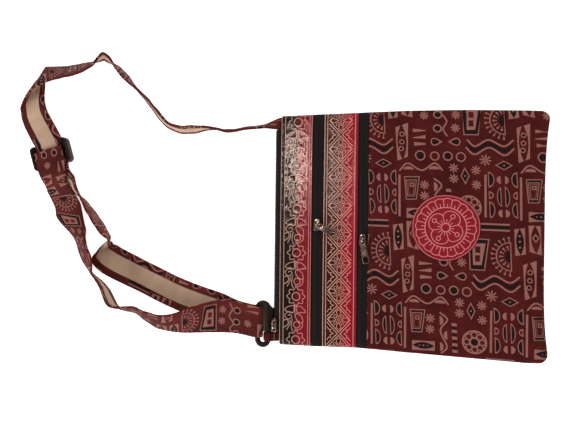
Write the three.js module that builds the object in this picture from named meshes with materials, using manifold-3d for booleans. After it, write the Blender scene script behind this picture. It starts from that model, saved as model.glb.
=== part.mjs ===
// A flat handbag of printed cotton with two embossed leather bands, three zips and a long strap.
// It lies on its back. Millimetres, +Z up. The origin is the middle of the back, on the surface it lies on.
// +X runs from the mouth to the bottom of the bag, +Y to the side where the strap is sewn in.
import * as THREE from 'three';
import Module from 'manifold-3d';
import { mergeVertices } from 'three/addons/utils/BufferGeometryUtils.js';

const wasm = await Module();
wasm.setup();

// Bag outline. MOUTH_X is the free edge of the upper band, BOTTOM_X the sewn bottom edge.
const MOUTH_X = -135;
const BOTTOM_X = 141;
const BOTTOM_PULL = 5;
const CORNER_RADIUS = 9;
// Sewn sides: x, low side y, high side y.
const SIDES = [
  [-145, -126, 126],
  [-100, -126, 127],
  [-50, -125, 128],
  [0, -127, 129],
  [60, -129, 128.5],
  [120, -131, 126.5],
  [145, -130.5, 125],
];

// Thickness and swell of the bag.
const CLOTH = 1.5;
const SEAM_Z = 3.8;
const SEAM_GAP = 0.3;
const EDGE_ROUND = 7;
const FRONT_RISE = 3.2;
const SWELL = 5;
// How much of the swell is left at each x: the mouth is pressed flatter than the middle.
const SWELL_ALONG = [
  [-145, 0.3],
  [-100, 0.6],
  [-40, 0.95],
  [20, 1],
  [90, 0.85],
  [145, 0.5],
];
const PIECE_GAP = 0.3;

// Pieces of the front, from mouth to bottom. Rows: x, lift above the plain front.
const BAND_UPPER_ROWS = [[-135, 0.5], [-133, 1], [-118, 1.1], [-102, 1], [-100, 0.4]];
const ZIP_UPPER_ROWS = [[-100, -0.7], [-96.5, -0.5], [-94.6, 0.1], [-93.4, 0.1], [-91.5, -0.5], [-88, -0.7]];
const BAND_LOWER_ROWS = [[-88, 0.4], [-86, 1], [-69, 1.1], [-53, 1], [-51, 0.4]];
const ZIP_LOWER_ROWS = [[-51, -0.7], [-48, -0.5], [-46.1, 0.1], [-44.9, 0.1], [-43, -0.5], [-40, -0.7]];
const FRONT_ROWS = [[-40, 0.2], [-38, 0.6], [-34, 0.3], [-20, 0], [10, 0], [40, 0], [70, 0], [100, 0],
  [120, 0], [129, 0], [134, 0], [137, 0], [139.4, 0], [141, 0]];
const BACK_ROWS = [[-135, 0], [-100, 0], [-50, 0], [0, 0], [60, 0], [110, 0], [129, 0], [134, 0], [137, 0],
  [139.4, 0], [141, 0]];
const BAND_WALL = 1.8;
const TAPE_WALL = 1.2;
const COLUMNS = 18;

// Zip along the mouth: a rounded tape from the upper band round to the back.
const MOUTH_ZIP = { low: -110, high: 111, reach: 6, wall: 1.3, drop: 0.6, columns: 12, arc: 7 };

// Round patch on the front.
const PATCH = { x: 39, y: 6, radius: 34.5, thick: 1.6, gap: 0.3, rings: 4, sectors: 32 };

// Zip sliders and pull tabs. turn is the way the tab points from +X, lean tips the slider toward the mouth.
const SLIDER = { height: 2.4, gap: 0.35, bailOuter: 4, bailInner: 2.9, bailWidth: 2.2, bailSink: 0.8 };
const TAB = { thick: 1.2, pin: 1.4, eyeWidth: 3.4, eyeLength: 3.9, axisUp: 1.3, droop: 4 };
const ZIPS = [
  { key: 'upper', x: -94, y: 7, length: 13, width: 7.4, turn: -28, lean: 0, tabLength: 23, tabWidth: 7.4 },
  { key: 'lower', x: -45.5, y: -8, length: 12, width: 7.4, turn: -80, lean: 0, tabLength: 26, tabWidth: 7.4 },
  { key: 'mouth', x: MOUTH_X, y: -101, length: 10, width: 6, turn: -84, lean: 26, tabLength: 10.5, tabWidth: 6.4 },
];

// Strap section: printed cover with hems turned to the back, webbing lying between the hems.
const STRAP_WIDTH = 40;
const STRAP_THICK = 2.6;
const COVER = 1;
const HEM = 9;
const WEBBING = 0.8;
const WEBBING_GAP = 0.3;

// Three-bar slider of the strap, in its own frame: across the strap and along it.
const GLIDE = {
  x: -415, y: 86, across: 17, inner: 37.6, rail: 6, bar: 4, halfLength: 15, centreBar: 5,
  barHeight: 3, centreFrom: 6.2, centreTo: 9.2, strap: 36.5,
};
// Loop that joins the strap to the bag: two bars along Y.
const RING = { x: -153.4, y: -103.5, z: 6.2, barGap: 11.8, length: 46, bend: 4.2, bar: 6, sides: 10, bendSteps: 4,
  strapShift: 2.2, strap: 34 };
// Flat web along the loop's near bar, beside the mouth zip. Corners in plan, then its thickness.
const RING_WEB = {
  corners: [[-152.7, -111.5], [-144, -111.5], [-144, -97], [-142.2, -95], [-142.2, -90], [-146, -83],
    [-152.7, -83]],
  thick: 3.2,
};
// Cloth tab from the mouth corner round the loop's near bar.
const RING_TAB = { y: -117, width: 9, thick: 1.8, end: -135.6, upperEnd: 5.8, lowerEnd: 2.6 };

// First run of the strap, from its sewn end to the slider.
// x, y, z of the middle, turn and lean of the line across it from the floor edge, width.
const FIRST_RUN = [
  [-136.4, 118, 5.0, -90, 0, 13],
  [-142, 116.5, 7, -80, 40, 14.5],
  [-150, 114.5, 11, -64, 68, 21],
  [-160, 112.5, 15.3, -58, 74, 30],
  [-172, 111, 19, -54, 75, 37],
  [-190, 108.5, 19, -48, 75, 37],
  [-212, 112, 19.2, -24, 75, 37],
  [-231, 111, 19.2, 4, 73, 37],
  [-248, 111, 19.5, 5, 70, 38],
  [-262, 117, 19.5, -4, 68, 38],
  [-275, 130.5, 18, -14, 61, 38],
  [-288, 146, 18, -22, 60, 38],
  [-301, 159.5, 18.5, -30, 60, 38],
  [-312, 171, 18.5, -44, 61, 38],
  [-323, 182.5, 18.5, -42, 60, 38],
  [-334.9, 192.5, 18, -13, 57, 38],
  [-341.3, 196.8, 18.3, -8, 62, 37.5],
  [-347.7, 193.7, 18, -17, 59, 38],
  [-356, 189.3, 17.2, -36, 53, 38],
  [-377, 184, 15.5, -44, 46, 37],
  [-396, 182, 14.3, -47, 42, 37],
  [-411, 181, 13.5, -50, 39, 37],
  [-421, 178.4, 14.3, -66, 40, 37.5],
  [-427, 172, 15.2, -87, 44, 37],
  [-432.5, 162, 13.2, -114, 36, 35],
  [-438, 149.5, 8.4, -154, -2, 36.5],
  [-435.2, 132, 7.4, -162, -8, 38.5],
  [-425.6, 112.5, 6.2, -163, -2, 37.5],
];
// Second run, from the slider to the loop, first standing on one edge and then lying with the webbing up.
const SECOND_RUN = [
  [-407, 63.5, 5.5, 195, -8, 37],
  [-394.5, 57, 10, 188, -22, 38],
  [-381.8, 51.3, 15.2, 181, -43, 38],
  [-375.2, 42.6, 16.9, 178, -49, 38],
  [-360.8, 28.3, 19.3, 174, -66, 38],
  [-349.2, 12.6, 19.4, 181, -73, 37.5],
  [-338.6, -2.8, 19.4, 187, -75, 37.5],
  [-332.2, -12.5, 18, 192, -65, 37],
  [-340.2, -21.6, 12.5, 202, -33, 37.5],
  [-347.2, -29.4, 5, 212, -8, 38],
  [-336.6, -38.6, 2.2, 240, 0, 38],
  [-300.2, -55, 1.6, 248, 0, 36.5],
  [-250, -76.4, 1.5, 249, 0, 36.5],
  [-207, -89.4, 1.4, 253, 0, 36],
  [-182, -97.8, 1.4, 264, 0, 35],
];
// Third run, from the loop back to the slider, printed side out.
const THIRD_RUN = [
  [-182, -97.5, 9.2, -90, -3, 36],
  [-204, -97.5, 7.2, -92, -8, 38],
  [-236, -103, 11.5, -101, -30, 38],
  [-250, -105.5, 14.5, -109, -40, 38],
  [-270, -106, 17, -121, -50, 38],
  [-289, -98.5, 18, -133, -56, 38],
  [-301, -93, 18.5, -139, -60, 38],
  [-315, -92, 19.5, -146, -66, 38],
  [-326, -88, 20, -147, -73, 38],
  [-332, -78, 20, -148, -74, 38],
  [-340, -65, 19.5, -156, -70, 38],
  [-355, -51, 17.5, -168, -56, 38],
  [-363.5, -36, 13.8, -172, -43, 35],
  [-370, -21, 12.5, -176, -40, 33],
  [-374, -11.5, 11.8, -178, -36, 34],
  [-380.5, -2.2, 8.4, -179.5, -21, 35],
  [-390, 11, 5.2, -178, -8, 38],
  [-393, 24, 5.5, -177, -9, 38],
  [-396.7, 34, 7.5, -174, -12, 38],
  [-402.2, 45.4, 11.2, -167, -19, 36.5],
  [-404.2, 53.2, 11.8, -165, -17, 37],
  [-408, 62.6, 11.6, -163, -6, 36],
];
const STRAP_STEPS = 1;

const DEG = Math.PI / 180;

// Value of one column of a table whose first column rises, straight between rows.
function lookUp(table, x, column) {
  const last = table.length - 1;
  if (x <= table[0][0]) return table[0][column];
  if (x >= table[last][0]) return table[last][column];
  const i = table.findIndex((row) => row[0] > x) - 1;
  const share = (x - table[i][0]) / (table[i + 1][0] - table[i][0]);
  return THREE.MathUtils.lerp(table[i][column], table[i + 1][column], share);
}

// Distance in from the sewn edge, with rounded bottom corners. inset moves the edge inward.
function edgeDistance(x, y, inset) {
  const fromBottom = BOTTOM_X - inset - x;
  const fromSide = Math.min(y - lookUp(SIDES, x, 1), lookUp(SIDES, x, 2) - y) - inset;
  const radius = CORNER_RADIUS - inset;
  const overX = radius - fromBottom;
  const overY = radius - fromSide;
  if (overX > 0 && overY > 0) return radius - Math.hypot(overX, overY);
  return Math.min(fromBottom, fromSide);
}

// Quarter-round rise from 0 at the edge to 1 at the given distance.
function edgeRise(distance, reach) {
  const share = 1 - Math.min(Math.max(distance / reach, 0), 1);
  return Math.sqrt(Math.max(0, 1 - share * share));
}

function swell(x, y) {
  const low = lookUp(SIDES, x, 1);
  const high = lookUp(SIDES, x, 2);
  const across = (2 * y - low - high) / (high - low);
  return SWELL * lookUp(SWELL_ALONG, x, 1) * (1 - across * across);
}

function frontOuter(x, y) {
  return SEAM_Z + FRONT_RISE * edgeRise(edgeDistance(x, y, 0), EDGE_ROUND) + swell(x, y);
}

function frontInner(x, y, wall) {
  const rise = edgeRise(edgeDistance(x, y, wall), EDGE_ROUND - wall);
  return SEAM_Z + (FRONT_RISE - wall) * rise + swell(x, y);
}

const BACK_RISE = SEAM_Z - SEAM_GAP;
function backOuter(x, y) {
  return BACK_RISE * (1 - edgeRise(edgeDistance(x, y, 0), EDGE_ROUND));
}

function backInner(x, y) {
  const rise = edgeRise(edgeDistance(x, y, CLOTH), EDGE_ROUND - CLOTH);
  return BACK_RISE - (BACK_RISE - CLOTH) * rise;
}

// The bottom edge is drawn in between its corners.
function drawnIn(x, y) {
  const near = THREE.MathUtils.smoothstep(x, 60, BOTTOM_X);
  const across = Math.min(Math.abs(y) / 120, 1);
  return x - BOTTOM_PULL * near * (1 - across ** 4);
}

// A row of points across the bag at x, inside the sewn outline moved in by inset.
function rowAcross(x, inset, columns) {
  const radius = CORNER_RADIUS - inset;
  const over = Math.max(0, radius - (BOTTOM_X - inset - x));
  const corner = radius - Math.sqrt(Math.max(0, radius * radius - over * over));
  const low = lookUp(SIDES, x, 1) + inset + corner;
  const high = lookUp(SIDES, x, 2) - inset - corner;
  const out = [];
  for (let j = 0; j <= columns; j += 1) {
    // Columns crowd toward the sides, where the surface turns.
    const even = (2 * j) / columns - 1;
    const share = 0.5 + 0.5 * Math.sin(even * Math.PI / 2) * 0.6 + 0.2 * even;
    out.push([x, THREE.MathUtils.lerp(low, high, share)]);
  }
  return out;
}

// Geometry from a list of points and triangles, turned so that its faces point out.
function solidGeometry(points, triangles) {
  let volume = 0;
  triangles.forEach(([a, b, c]) => {
    volume += points[a].dot(points[b].clone().cross(points[c]));
  });
  const index = [];
  triangles.forEach(([a, b, c]) => {
    if (volume > 0) index.push(a, b, c);
    else index.push(a, c, b);
  });
  const geometry = new THREE.BufferGeometry();
  geometry.setAttribute('position', new THREE.Float32BufferAttribute(points.flatMap((p) => [p.x, p.y, p.z]), 3));
  geometry.setIndex(index);
  geometry.computeVertexNormals();
  return geometry;
}

// One wall from two matching grids of points, joined by a rim all round.
function wallGeometry(outer, inner) {
  const rows = outer.length;
  const columns = outer[0].length;
  const points = [...outer.flat(), ...inner.flat()];
  const at = (side, i, j) => side * rows * columns + i * columns + j;
  const triangles = [];
  const quad = (a, b, c, d) => triangles.push([a, b, c], [a, c, d]);
  for (let i = 0; i < rows - 1; i += 1) {
    for (let j = 0; j < columns - 1; j += 1) {
      quad(at(0, i, j), at(0, i + 1, j), at(0, i + 1, j + 1), at(0, i, j + 1));
      quad(at(1, i, j), at(1, i, j + 1), at(1, i + 1, j + 1), at(1, i + 1, j));
    }
  }
  for (let i = 0; i < rows - 1; i += 1) {
    quad(at(0, i, 0), at(1, i, 0), at(1, i + 1, 0), at(0, i + 1, 0));
    quad(at(0, i, columns - 1), at(0, i + 1, columns - 1), at(1, i + 1, columns - 1), at(1, i, columns - 1));
  }
  for (let j = 0; j < columns - 1; j += 1) {
    quad(at(0, 0, j), at(0, 0, j + 1), at(1, 0, j + 1), at(1, 0, j));
    quad(at(0, rows - 1, j), at(1, rows - 1, j), at(1, rows - 1, j + 1), at(0, rows - 1, j + 1));
  }
  return solidGeometry(points, triangles);
}

// A piece of the front between its first and last row, sewn in at the sides.
function frontPiece(rows, wall) {
  const first = rows[0][0];
  const last = rows[rows.length - 1][0];
  const toBottom = last === BOTTOM_X;
  const innerLast = toBottom ? last - wall : last - PIECE_GAP / 2;
  const outerLast = toBottom ? last : last - PIECE_GAP / 2;
  const place = (x, end) => first + PIECE_GAP / 2 + ((x - first) / (last - first)) * (end - first - PIECE_GAP / 2);
  const outer = rows.map(([x, lift]) => rowAcross(place(x, outerLast), 0, COLUMNS).map(([px, py]) => {
    const keep = edgeRise(edgeDistance(px, py, 0), EDGE_ROUND);
    return new THREE.Vector3(drawnIn(px, py), py, frontOuter(px, py) + lift * keep);
  }));
  const inner = rows.map(([x, lift]) => rowAcross(place(x, innerLast), wall, COLUMNS).map(([px, py]) => {
    const keep = edgeRise(edgeDistance(px, py, wall), EDGE_ROUND - wall);
    return new THREE.Vector3(drawnIn(px, py), py, frontInner(px, py, wall) + Math.min(lift, 0) * keep);
  }));
  return wallGeometry(outer, inner);
}

function backPiece() {
  const first = BACK_ROWS[0][0];
  const last = BOTTOM_X;
  const place = (x, end) => first + ((x - first) / (last - first)) * (end - first);
  const outer = BACK_ROWS.map(([x]) => rowAcross(place(x, last), 0, COLUMNS).map(([px, py]) => (
    new THREE.Vector3(drawnIn(px, py), py, backOuter(px, py)))));
  const inner = BACK_ROWS.map(([x]) => rowAcross(place(x, last - CLOTH), CLOTH, COLUMNS).map(([px, py]) => (
    new THREE.Vector3(drawnIn(px, py), py, backInner(px, py)))));
  return wallGeometry(outer, inner);
}

// Height of the mouth edge that the mouth zip has to span.
function mouthHeight(y) {
  return frontOuter(MOUTH_X, y) - MOUTH_ZIP.drop;
}

function mouthZip() {
  const layer = (shrink) => {
    const rows = [];
    for (let i = 0; i <= MOUTH_ZIP.columns; i += 1) {
      const y = THREE.MathUtils.lerp(MOUTH_ZIP.low, MOUTH_ZIP.high, i / MOUTH_ZIP.columns);
      const half = mouthHeight(y) / 2;
      const row = [];
      for (let k = 0; k <= MOUTH_ZIP.arc; k += 1) {
        const angle = Math.PI / 2 - Math.PI * k / MOUTH_ZIP.arc;
        const x = MOUTH_X - PIECE_GAP - (MOUTH_ZIP.reach - shrink) * Math.cos(angle);
        row.push(new THREE.Vector3(x, y, half + 0.1 + (half - shrink) * Math.sin(angle)));
      }
      rows.push(row);
    }
    return rows;
  };
  return wallGeometry(layer(0), layer(MOUTH_ZIP.wall));
}

// Round patch: a domed disc that follows the front.
function patchPiece() {
  const { x, y, radius, thick, gap, rings, sectors } = PATCH;
  const points = [];
  const triangles = [];
  const layer = (lift, reach, rim) => {
    const start = points.length;
    points.push(new THREE.Vector3(x, y, frontOuter(x, y) + lift));
    for (let r = 1; r <= rings; r += 1) {
      for (let s = 0; s < sectors; s += 1) {
        const px = x + reach * (r / rings) * Math.cos(2 * Math.PI * s / sectors);
        const py = y + reach * (r / rings) * Math.sin(2 * Math.PI * s / sectors);
        const drop = r === rings ? rim : 0;
        points.push(new THREE.Vector3(px, py, frontOuter(px, py) + lift - drop));
      }
    }
    return start;
  };
  const top = layer(gap + thick, radius, 0.5);
  const base = layer(gap, radius - 0.3, 0);
  const at = (start, r, s) => start + 1 + (r - 1) * sectors + (s % sectors);
  for (let s = 0; s < sectors; s += 1) {
    triangles.push([top, at(top, 1, s), at(top, 1, s + 1)]);
    triangles.push([base, at(base, 1, s + 1), at(base, 1, s)]);
    for (let r = 1; r < rings; r += 1) {
      triangles.push([at(top, r, s), at(top, r + 1, s), at(top, r + 1, s + 1)]);
      triangles.push([at(top, r, s), at(top, r + 1, s + 1), at(top, r, s + 1)]);
      triangles.push([at(base, r, s), at(base, r + 1, s + 1), at(base, r + 1, s)]);
      triangles.push([at(base, r, s), at(base, r, s + 1), at(base, r + 1, s + 1)]);
    }
    triangles.push([at(top, rings, s), at(base, rings, s), at(base, rings, s + 1)]);
    triangles.push([at(top, rings, s), at(base, rings, s + 1), at(top, rings, s + 1)]);
  }
  return solidGeometry(points, triangles);
}

// Joins for closed geometries.
function toSolid(geometry) {
  const bare = geometry.clone();
  bare.deleteAttribute('normal');
  bare.deleteAttribute('uv');
  const merged = mergeVertices(bare, 1e-4);
  return new wasm.Manifold(new wasm.Mesh({
    numProp: 3,
    vertProperties: new Float32Array(merged.attributes.position.array),
    triVerts: new Uint32Array(merged.index.array),
  }));
}

function fromSolid(solid) {
  const mesh = solid.getMesh();
  const geometry = new THREE.BufferGeometry();
  geometry.setAttribute('position', new THREE.Float32BufferAttribute(mesh.vertProperties, 3));
  geometry.setIndex(Array.from(mesh.triVerts));
  geometry.computeVertexNormals();
  return geometry;
}

function join(geometries) {
  return fromSolid(geometries.map(toSolid).reduce((a, b) => a.add(b)));
}

function roundedOutline(fromX, toX, width, radius) {
  const shape = new THREE.Shape();
  const half = width / 2;
  shape.moveTo(fromX + radius, -half);
  shape.lineTo(toX - radius, -half);
  shape.absarc(toX - radius, -half + radius, radius, -Math.PI / 2, 0, false);
  shape.lineTo(toX, half - radius);
  shape.absarc(toX - radius, half - radius, radius, 0, Math.PI / 2, false);
  shape.lineTo(fromX + radius, half);
  shape.absarc(fromX + radius, half - radius, radius, Math.PI / 2, Math.PI, false);
  shape.lineTo(fromX, -half + radius);
  shape.absarc(fromX + radius, -half + radius, radius, Math.PI, 1.5 * Math.PI, false);
  return shape;
}

function slab(shape, thick, steps) {
  return new THREE.ExtrudeGeometry(shape, { depth: thick, bevelEnabled: false, curveSegments: steps });
}

// Zip slider: a body along the zip and a bail in line with its tab, as one casting.
function sliderGeometry(zip) {
  const body = slab(roundedOutline(-zip.length / 2, zip.length / 2, zip.width, 2.2), SLIDER.height, 3);
  body.rotateZ((90 - zip.turn) * DEG);
  const arch = new THREE.Shape();
  arch.moveTo(SLIDER.bailOuter, -SLIDER.bailSink);
  arch.lineTo(SLIDER.bailOuter, 0);
  arch.absarc(0, 0, SLIDER.bailOuter, 0, Math.PI, false);
  arch.lineTo(-SLIDER.bailOuter, -SLIDER.bailSink);
  arch.lineTo(-SLIDER.bailInner, -SLIDER.bailSink);
  arch.lineTo(-SLIDER.bailInner, 0);
  arch.absarc(0, 0, SLIDER.bailInner, Math.PI, 0, true);
  arch.lineTo(SLIDER.bailInner, -SLIDER.bailSink);
  arch.closePath();
  const bail = slab(arch, SLIDER.bailWidth, 8);
  bail.translate(0, 0, -SLIDER.bailWidth / 2);
  bail.rotateX(Math.PI / 2);
  bail.translate(0, 0, SLIDER.height + 0.3);
  return join([body, bail]);
}

// Pull tab: a flat plate with an eye for the bail and a slot near its far end.
function tabGeometry(zip) {
  const plate = roundedOutline(-TAB.pin / 2, zip.tabLength, zip.tabWidth, 1.3);
  const eye = roundedOutline(TAB.pin / 2, TAB.pin / 2 + TAB.eyeLength, TAB.eyeWidth, 0.6);
  const slotEnd = zip.tabLength - 2.4;
  const slot = roundedOutline(slotEnd - zip.tabLength * 0.24, slotEnd, zip.tabWidth - 4.2, 0.8);
  plate.holes.push(new THREE.Path(eye.getPoints(2).reverse()), new THREE.Path(slot.getPoints(2).reverse()));
  const geometry = slab(plate, TAB.thick, 2);
  geometry.translate(0, 0, -TAB.thick / 2);
  geometry.rotateY(TAB.droop * DEG);
  return geometry;
}

// Sweep of a closed outline through placed sections, capped at both ends.
function sweep(sections, cap) {
  const count = sections[0].length;
  const points = sections.flat();
  const triangles = [];
  for (let i = 0; i < sections.length - 1; i += 1) {
    for (let k = 0; k < count; k += 1) {
      const a = i * count + k;
      const b = i * count + ((k + 1) % count);
      triangles.push([a, b, b + count], [a, b + count, a + count]);
    }
  }
  const end = (sections.length - 1) * count;
  cap.forEach(([a, b, c]) => {
    triangles.push([a, c, b], [end + a, end + b, end + c]);
  });
  return solidGeometry(points, triangles);
}

// Place along and across the strap's slider, at a height.
const glideAcross = new THREE.Vector3(Math.cos(GLIDE.across * DEG), Math.sin(GLIDE.across * DEG), 0);
const glideAlong = new THREE.Vector3(Math.sin(GLIDE.across * DEG), -Math.cos(GLIDE.across * DEG), 0);
function glideRow(along, z) {
  const turn = GLIDE.across + 180;
  return [GLIDE.x + along * glideAlong.x, GLIDE.y + along * glideAlong.y, z, turn, 0, GLIDE.strap];
}

// Heights of the strap's middle as it is threaded over and under the three bars.
const OVER_BAR = GLIDE.barHeight + 0.35 + STRAP_THICK / 2;
const UNDER_ALL = STRAP_THICK / 2 + 0.05;
const TAIL_LOW = GLIDE.centreFrom - 0.3 - STRAP_THICK / 2;
const OVER_CENTRE = GLIDE.centreTo + 0.3 + STRAP_THICK / 2;
const LOOP_RADIUS = (OVER_CENTRE - TAIL_LOW) / 2;
const THREADED = [
  [-15, OVER_BAR + 0.1], [-11.2, OVER_BAR], [-7.6, 2.6], [-4.6, UNDER_ALL], [0, UNDER_ALL], [4.6, UNDER_ALL],
  [7.6, 2.6], [11.2, OVER_BAR], [15.2, OVER_BAR + 0.1],
];
const TAIL = [[2.6, TAIL_LOW], [5, TAIL_LOW + 0.5], [8, TAIL_LOW + 2.1], [11.2, TAIL_LOW + 3.4], [15, TAIL_LOW + 3.5]];

// The whole strap as rows of x, y, z, turn, lean, width.
function strapRows() {
  const rows = [...FIRST_RUN];
  THREADED.forEach(([along, z]) => rows.push(glideRow(along, z)));
  rows.push(...SECOND_RUN);
  const barX = RING.x - RING.barGap / 2;
  const wrap = RING.bar / 2 + 0.4 + STRAP_THICK / 2;
  for (let angle = -90; angle <= 90; angle += 22.5) {
    const x = barX + wrap * Math.cos(angle * DEG);
    rows.push([x, RING.y + RING.strapShift, RING.z + wrap * Math.sin(angle * DEG), 270, 0, RING.strap]);
  }
  THIRD_RUN.forEach(([x, y, z, turn, lean, width]) => rows.push([x, y, z, turn + 360, lean, width]));
  rows.push(glideRow(15, OVER_CENTRE + 0.4), glideRow(8, OVER_CENTRE + 0.1), glideRow(2.6, OVER_CENTRE));
  for (let angle = 90; angle <= 270; angle += 22.5) {
    const along = -2.2 + LOOP_RADIUS * Math.cos(angle * DEG);
    rows.push(glideRow(along, (OVER_CENTRE + TAIL_LOW) / 2 + LOOP_RADIUS * Math.sin(angle * DEG)));
  }
  TAIL.forEach(([along, z]) => rows.push(glideRow(along, z)));
  // The turn of the line across the strap is kept running on without jumps.
  for (let i = 1; i < rows.length; i += 1) {
    const step = rows[i][3] - rows[i - 1][3];
    rows[i] = [...rows[i]];
    rows[i][3] -= 360 * Math.round(step / 360);
  }
  return rows;
}

function smoothValue(a, b, c, d, t) {
  const start = (c - a) / 2;
  const stop = (d - b) / 2;
  const t2 = t * t;
  const t3 = t2 * t;
  return (2 * t3 - 3 * t2 + 1) * b + (t3 - 2 * t2 + t) * start + (-2 * t3 + 3 * t2) * c + (t3 - t2) * stop;
}

// Frames along the strap: middle point, line across, and the side that is printed.
function strapFrames() {
  const rows = strapRows();
  const curve = new THREE.CatmullRomCurve3(rows.map(([x, y, z]) => new THREE.Vector3(x, y, z)), false, 'centripetal');
  const frames = [];
  const last = rows.length - 1;
  for (let n = 0; n <= last * STRAP_STEPS; n += 1) {
    const i = Math.min(Math.floor(n / STRAP_STEPS), last - 1);
    const t = n / STRAP_STEPS - i;
    const before = rows[Math.max(i - 1, 0)];
    const after = rows[Math.min(i + 2, last)];
    const value = (column) => smoothValue(before[column], rows[i][column], rows[i + 1][column], after[column], t);
    const turn = value(3) * DEG;
    const lean = value(4) * DEG;
    const across = new THREE.Vector3(Math.cos(lean) * Math.cos(turn), Math.cos(lean) * Math.sin(turn), Math.sin(lean));
    const middle = curve.getPoint(n / (last * STRAP_STEPS));
    const ahead = curve.getTangent(n / (last * STRAP_STEPS));
    const printed = ahead.clone().cross(across).normalize();
    frames.push({ middle, across, printed, width: value(5) });
  }
  return frames;
}

// Strap pieces. outline gives across as a share of half the width, and depth toward the printed side.
function strapPiece(outline, cap) {
  const sections = strapFrames().map(({ middle, across, printed, width }) => outline.map(([share, depth]) => (
    middle.clone().addScaledVector(across, share * width / 2).addScaledVector(printed, depth))));
  return sweep(sections, cap);
}

const HALF = STRAP_THICK / 2;
const HEM_SHARE = 1 - (2 * HEM) / STRAP_WIDTH;
const COVER_OUTLINE = [
  [-1, -HALF], [-HEM_SHARE, -HALF], [-HEM_SHARE, HALF - COVER], [0, HALF - COVER], [HEM_SHARE, HALF - COVER],
  [HEM_SHARE, -HALF], [1, -HALF], [1, HALF], [0, HALF], [-1, HALF],
];
const COVER_CAP = [[0, 1, 2], [0, 2, 9], [2, 3, 8], [2, 8, 9], [3, 4, 7], [3, 7, 8], [4, 5, 6], [4, 6, 7]];
const WEB_SHARE = HEM_SHARE - (2 * WEBBING_GAP) / STRAP_WIDTH;
const WEB_TOP = HALF - COVER - WEBBING_GAP;
const WEB_OUTLINE = [
  [-WEB_SHARE, WEB_TOP], [0, WEB_TOP], [WEB_SHARE, WEB_TOP], [WEB_SHARE, WEB_TOP - WEBBING],
  [-WEB_SHARE, WEB_TOP - WEBBING],
];

const WEB_CAP = [[0, 1, 4], [1, 3, 4], [1, 2, 3]];

// Slider of the strap: two rails, two low bars and a raised bar between them.
function glideGeometry() {
  const { inner, rail, halfLength, bar, centreBar, barHeight, centreFrom, centreTo } = GLIDE;
  const pieces = [];
  [-1, 1].forEach((side) => {
    const railShape = roundedOutline(-halfLength, halfLength, centreTo, 2.5);
    const railPiece = slab(railShape, rail, 4);
    railPiece.rotateX(Math.PI / 2);
    railPiece.translate(0, side * (inner + rail) / 2 + rail / 2, centreTo / 2);
    pieces.push(railPiece);
  });
  const reach = inner + rail;
  [-1, 1].forEach((side) => {
    const low = new THREE.BoxGeometry(bar, reach, barHeight);
    low.translate(side * (halfLength - bar / 2 - 0.1), 0, barHeight / 2);
    pieces.push(low);
  });
  const raised = new THREE.BoxGeometry(centreBar, reach, centreTo - centreFrom);
  raised.translate(0, 0, (centreTo + centreFrom) / 2);
  pieces.push(raised);
  return join(pieces);
}

// Loop: a round bar bent to a rounded rectangle, with the web joined to it.
function ringGeometry() {
  const { barGap, length, bend, bar, sides, bendSteps } = RING;
  const path = [];
  [[1, 1, 0], [-1, 1, 90], [-1, -1, 180], [1, -1, 270]].forEach(([sx, sy, from]) => {
    for (let k = 0; k <= bendSteps; k += 1) {
      const angle = (from + 90 * k / bendSteps) * DEG;
      path.push(new THREE.Vector2(
        sx * (barGap / 2 - bend) + bend * Math.cos(angle),
        sy * (length / 2 - bend) + bend * Math.sin(angle),
      ));
    }
  });
  const points = [];
  path.forEach((p, i) => {
    const before = path[(i + path.length - 1) % path.length];
    const after = path[(i + 1) % path.length];
    const out = new THREE.Vector2(after.y - before.y, before.x - after.x).normalize();
    for (let k = 0; k < sides; k += 1) {
      const angle = 2 * Math.PI * k / sides;
      const reach = Math.cos(angle) * bar / 2;
      points.push(new THREE.Vector3(p.x + out.x * reach, p.y + out.y * reach, Math.sin(angle) * bar / 2));
    }
  });
  const triangles = [];
  for (let i = 0; i < path.length; i += 1) {
    const next = (i + 1) % path.length;
    for (let k = 0; k < sides; k += 1) {
      const k2 = (k + 1) % sides;
      const [a, b, c, d] = [i * sides + k, i * sides + k2, next * sides + k2, next * sides + k];
      triangles.push([a, b, c], [a, c, d]);
    }
  }
  const plan = new THREE.Shape(RING_WEB.corners.map(([x, y]) => new THREE.Vector2(x - RING.x, y - RING.y)));
  const web = slab(plan, RING_WEB.thick, 1);
  web.translate(0, 0, -RING_WEB.thick / 2);
  return join([solidGeometry(points, triangles), web]);
}

// Tab: a strip from the bag's corner round the near bar and back.
function ringTabGeometry() {
  const barX = RING.x + RING.barGap / 2;
  const radius = RING.bar / 2 + 0.35 + RING_TAB.thick / 2;
  const line = [[RING_TAB.end, RING_TAB.upperEnd], [RING_TAB.end - 3, RING_TAB.upperEnd + 0.9]];
  for (let k = 0; k <= 8; k += 1) {
    const angle = (75 + (210 * k) / 8) * DEG;
    line.push([barX + radius * Math.cos(angle), RING.z + radius * Math.sin(angle)]);
  }
  line.push([RING_TAB.end - 3, RING_TAB.lowerEnd - 0.4], [RING_TAB.end, RING_TAB.lowerEnd]);
  const sections = line.map(([x, z], i) => {
    const before = line[Math.max(i - 1, 0)];
    const after = line[Math.min(i + 1, line.length - 1)];
    const out = new THREE.Vector2(after[1] - before[1], before[0] - after[0]).normalize();
    const half = RING_TAB.thick / 2;
    const edge = RING_TAB.width / 2;
    return [[-1, -1], [1, -1], [1, 1], [-1, 1]].map(([side, layer]) => (
      new THREE.Vector3(x + out.x * half * layer, RING_TAB.y + side * edge, z + out.y * half * layer)));
  });
  return sweep(sections, [[0, 1, 2], [0, 2, 3]]);
}

const bag = new THREE.Group();

function addPiece(parent, name, geometry, color, roughness, metalness) {
  const material = new THREE.MeshStandardMaterial({ color, roughness, metalness });
  const mesh = new THREE.Mesh(geometry, material);
  mesh.name = name;
  parent.add(mesh);
  return mesh;
}

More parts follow.
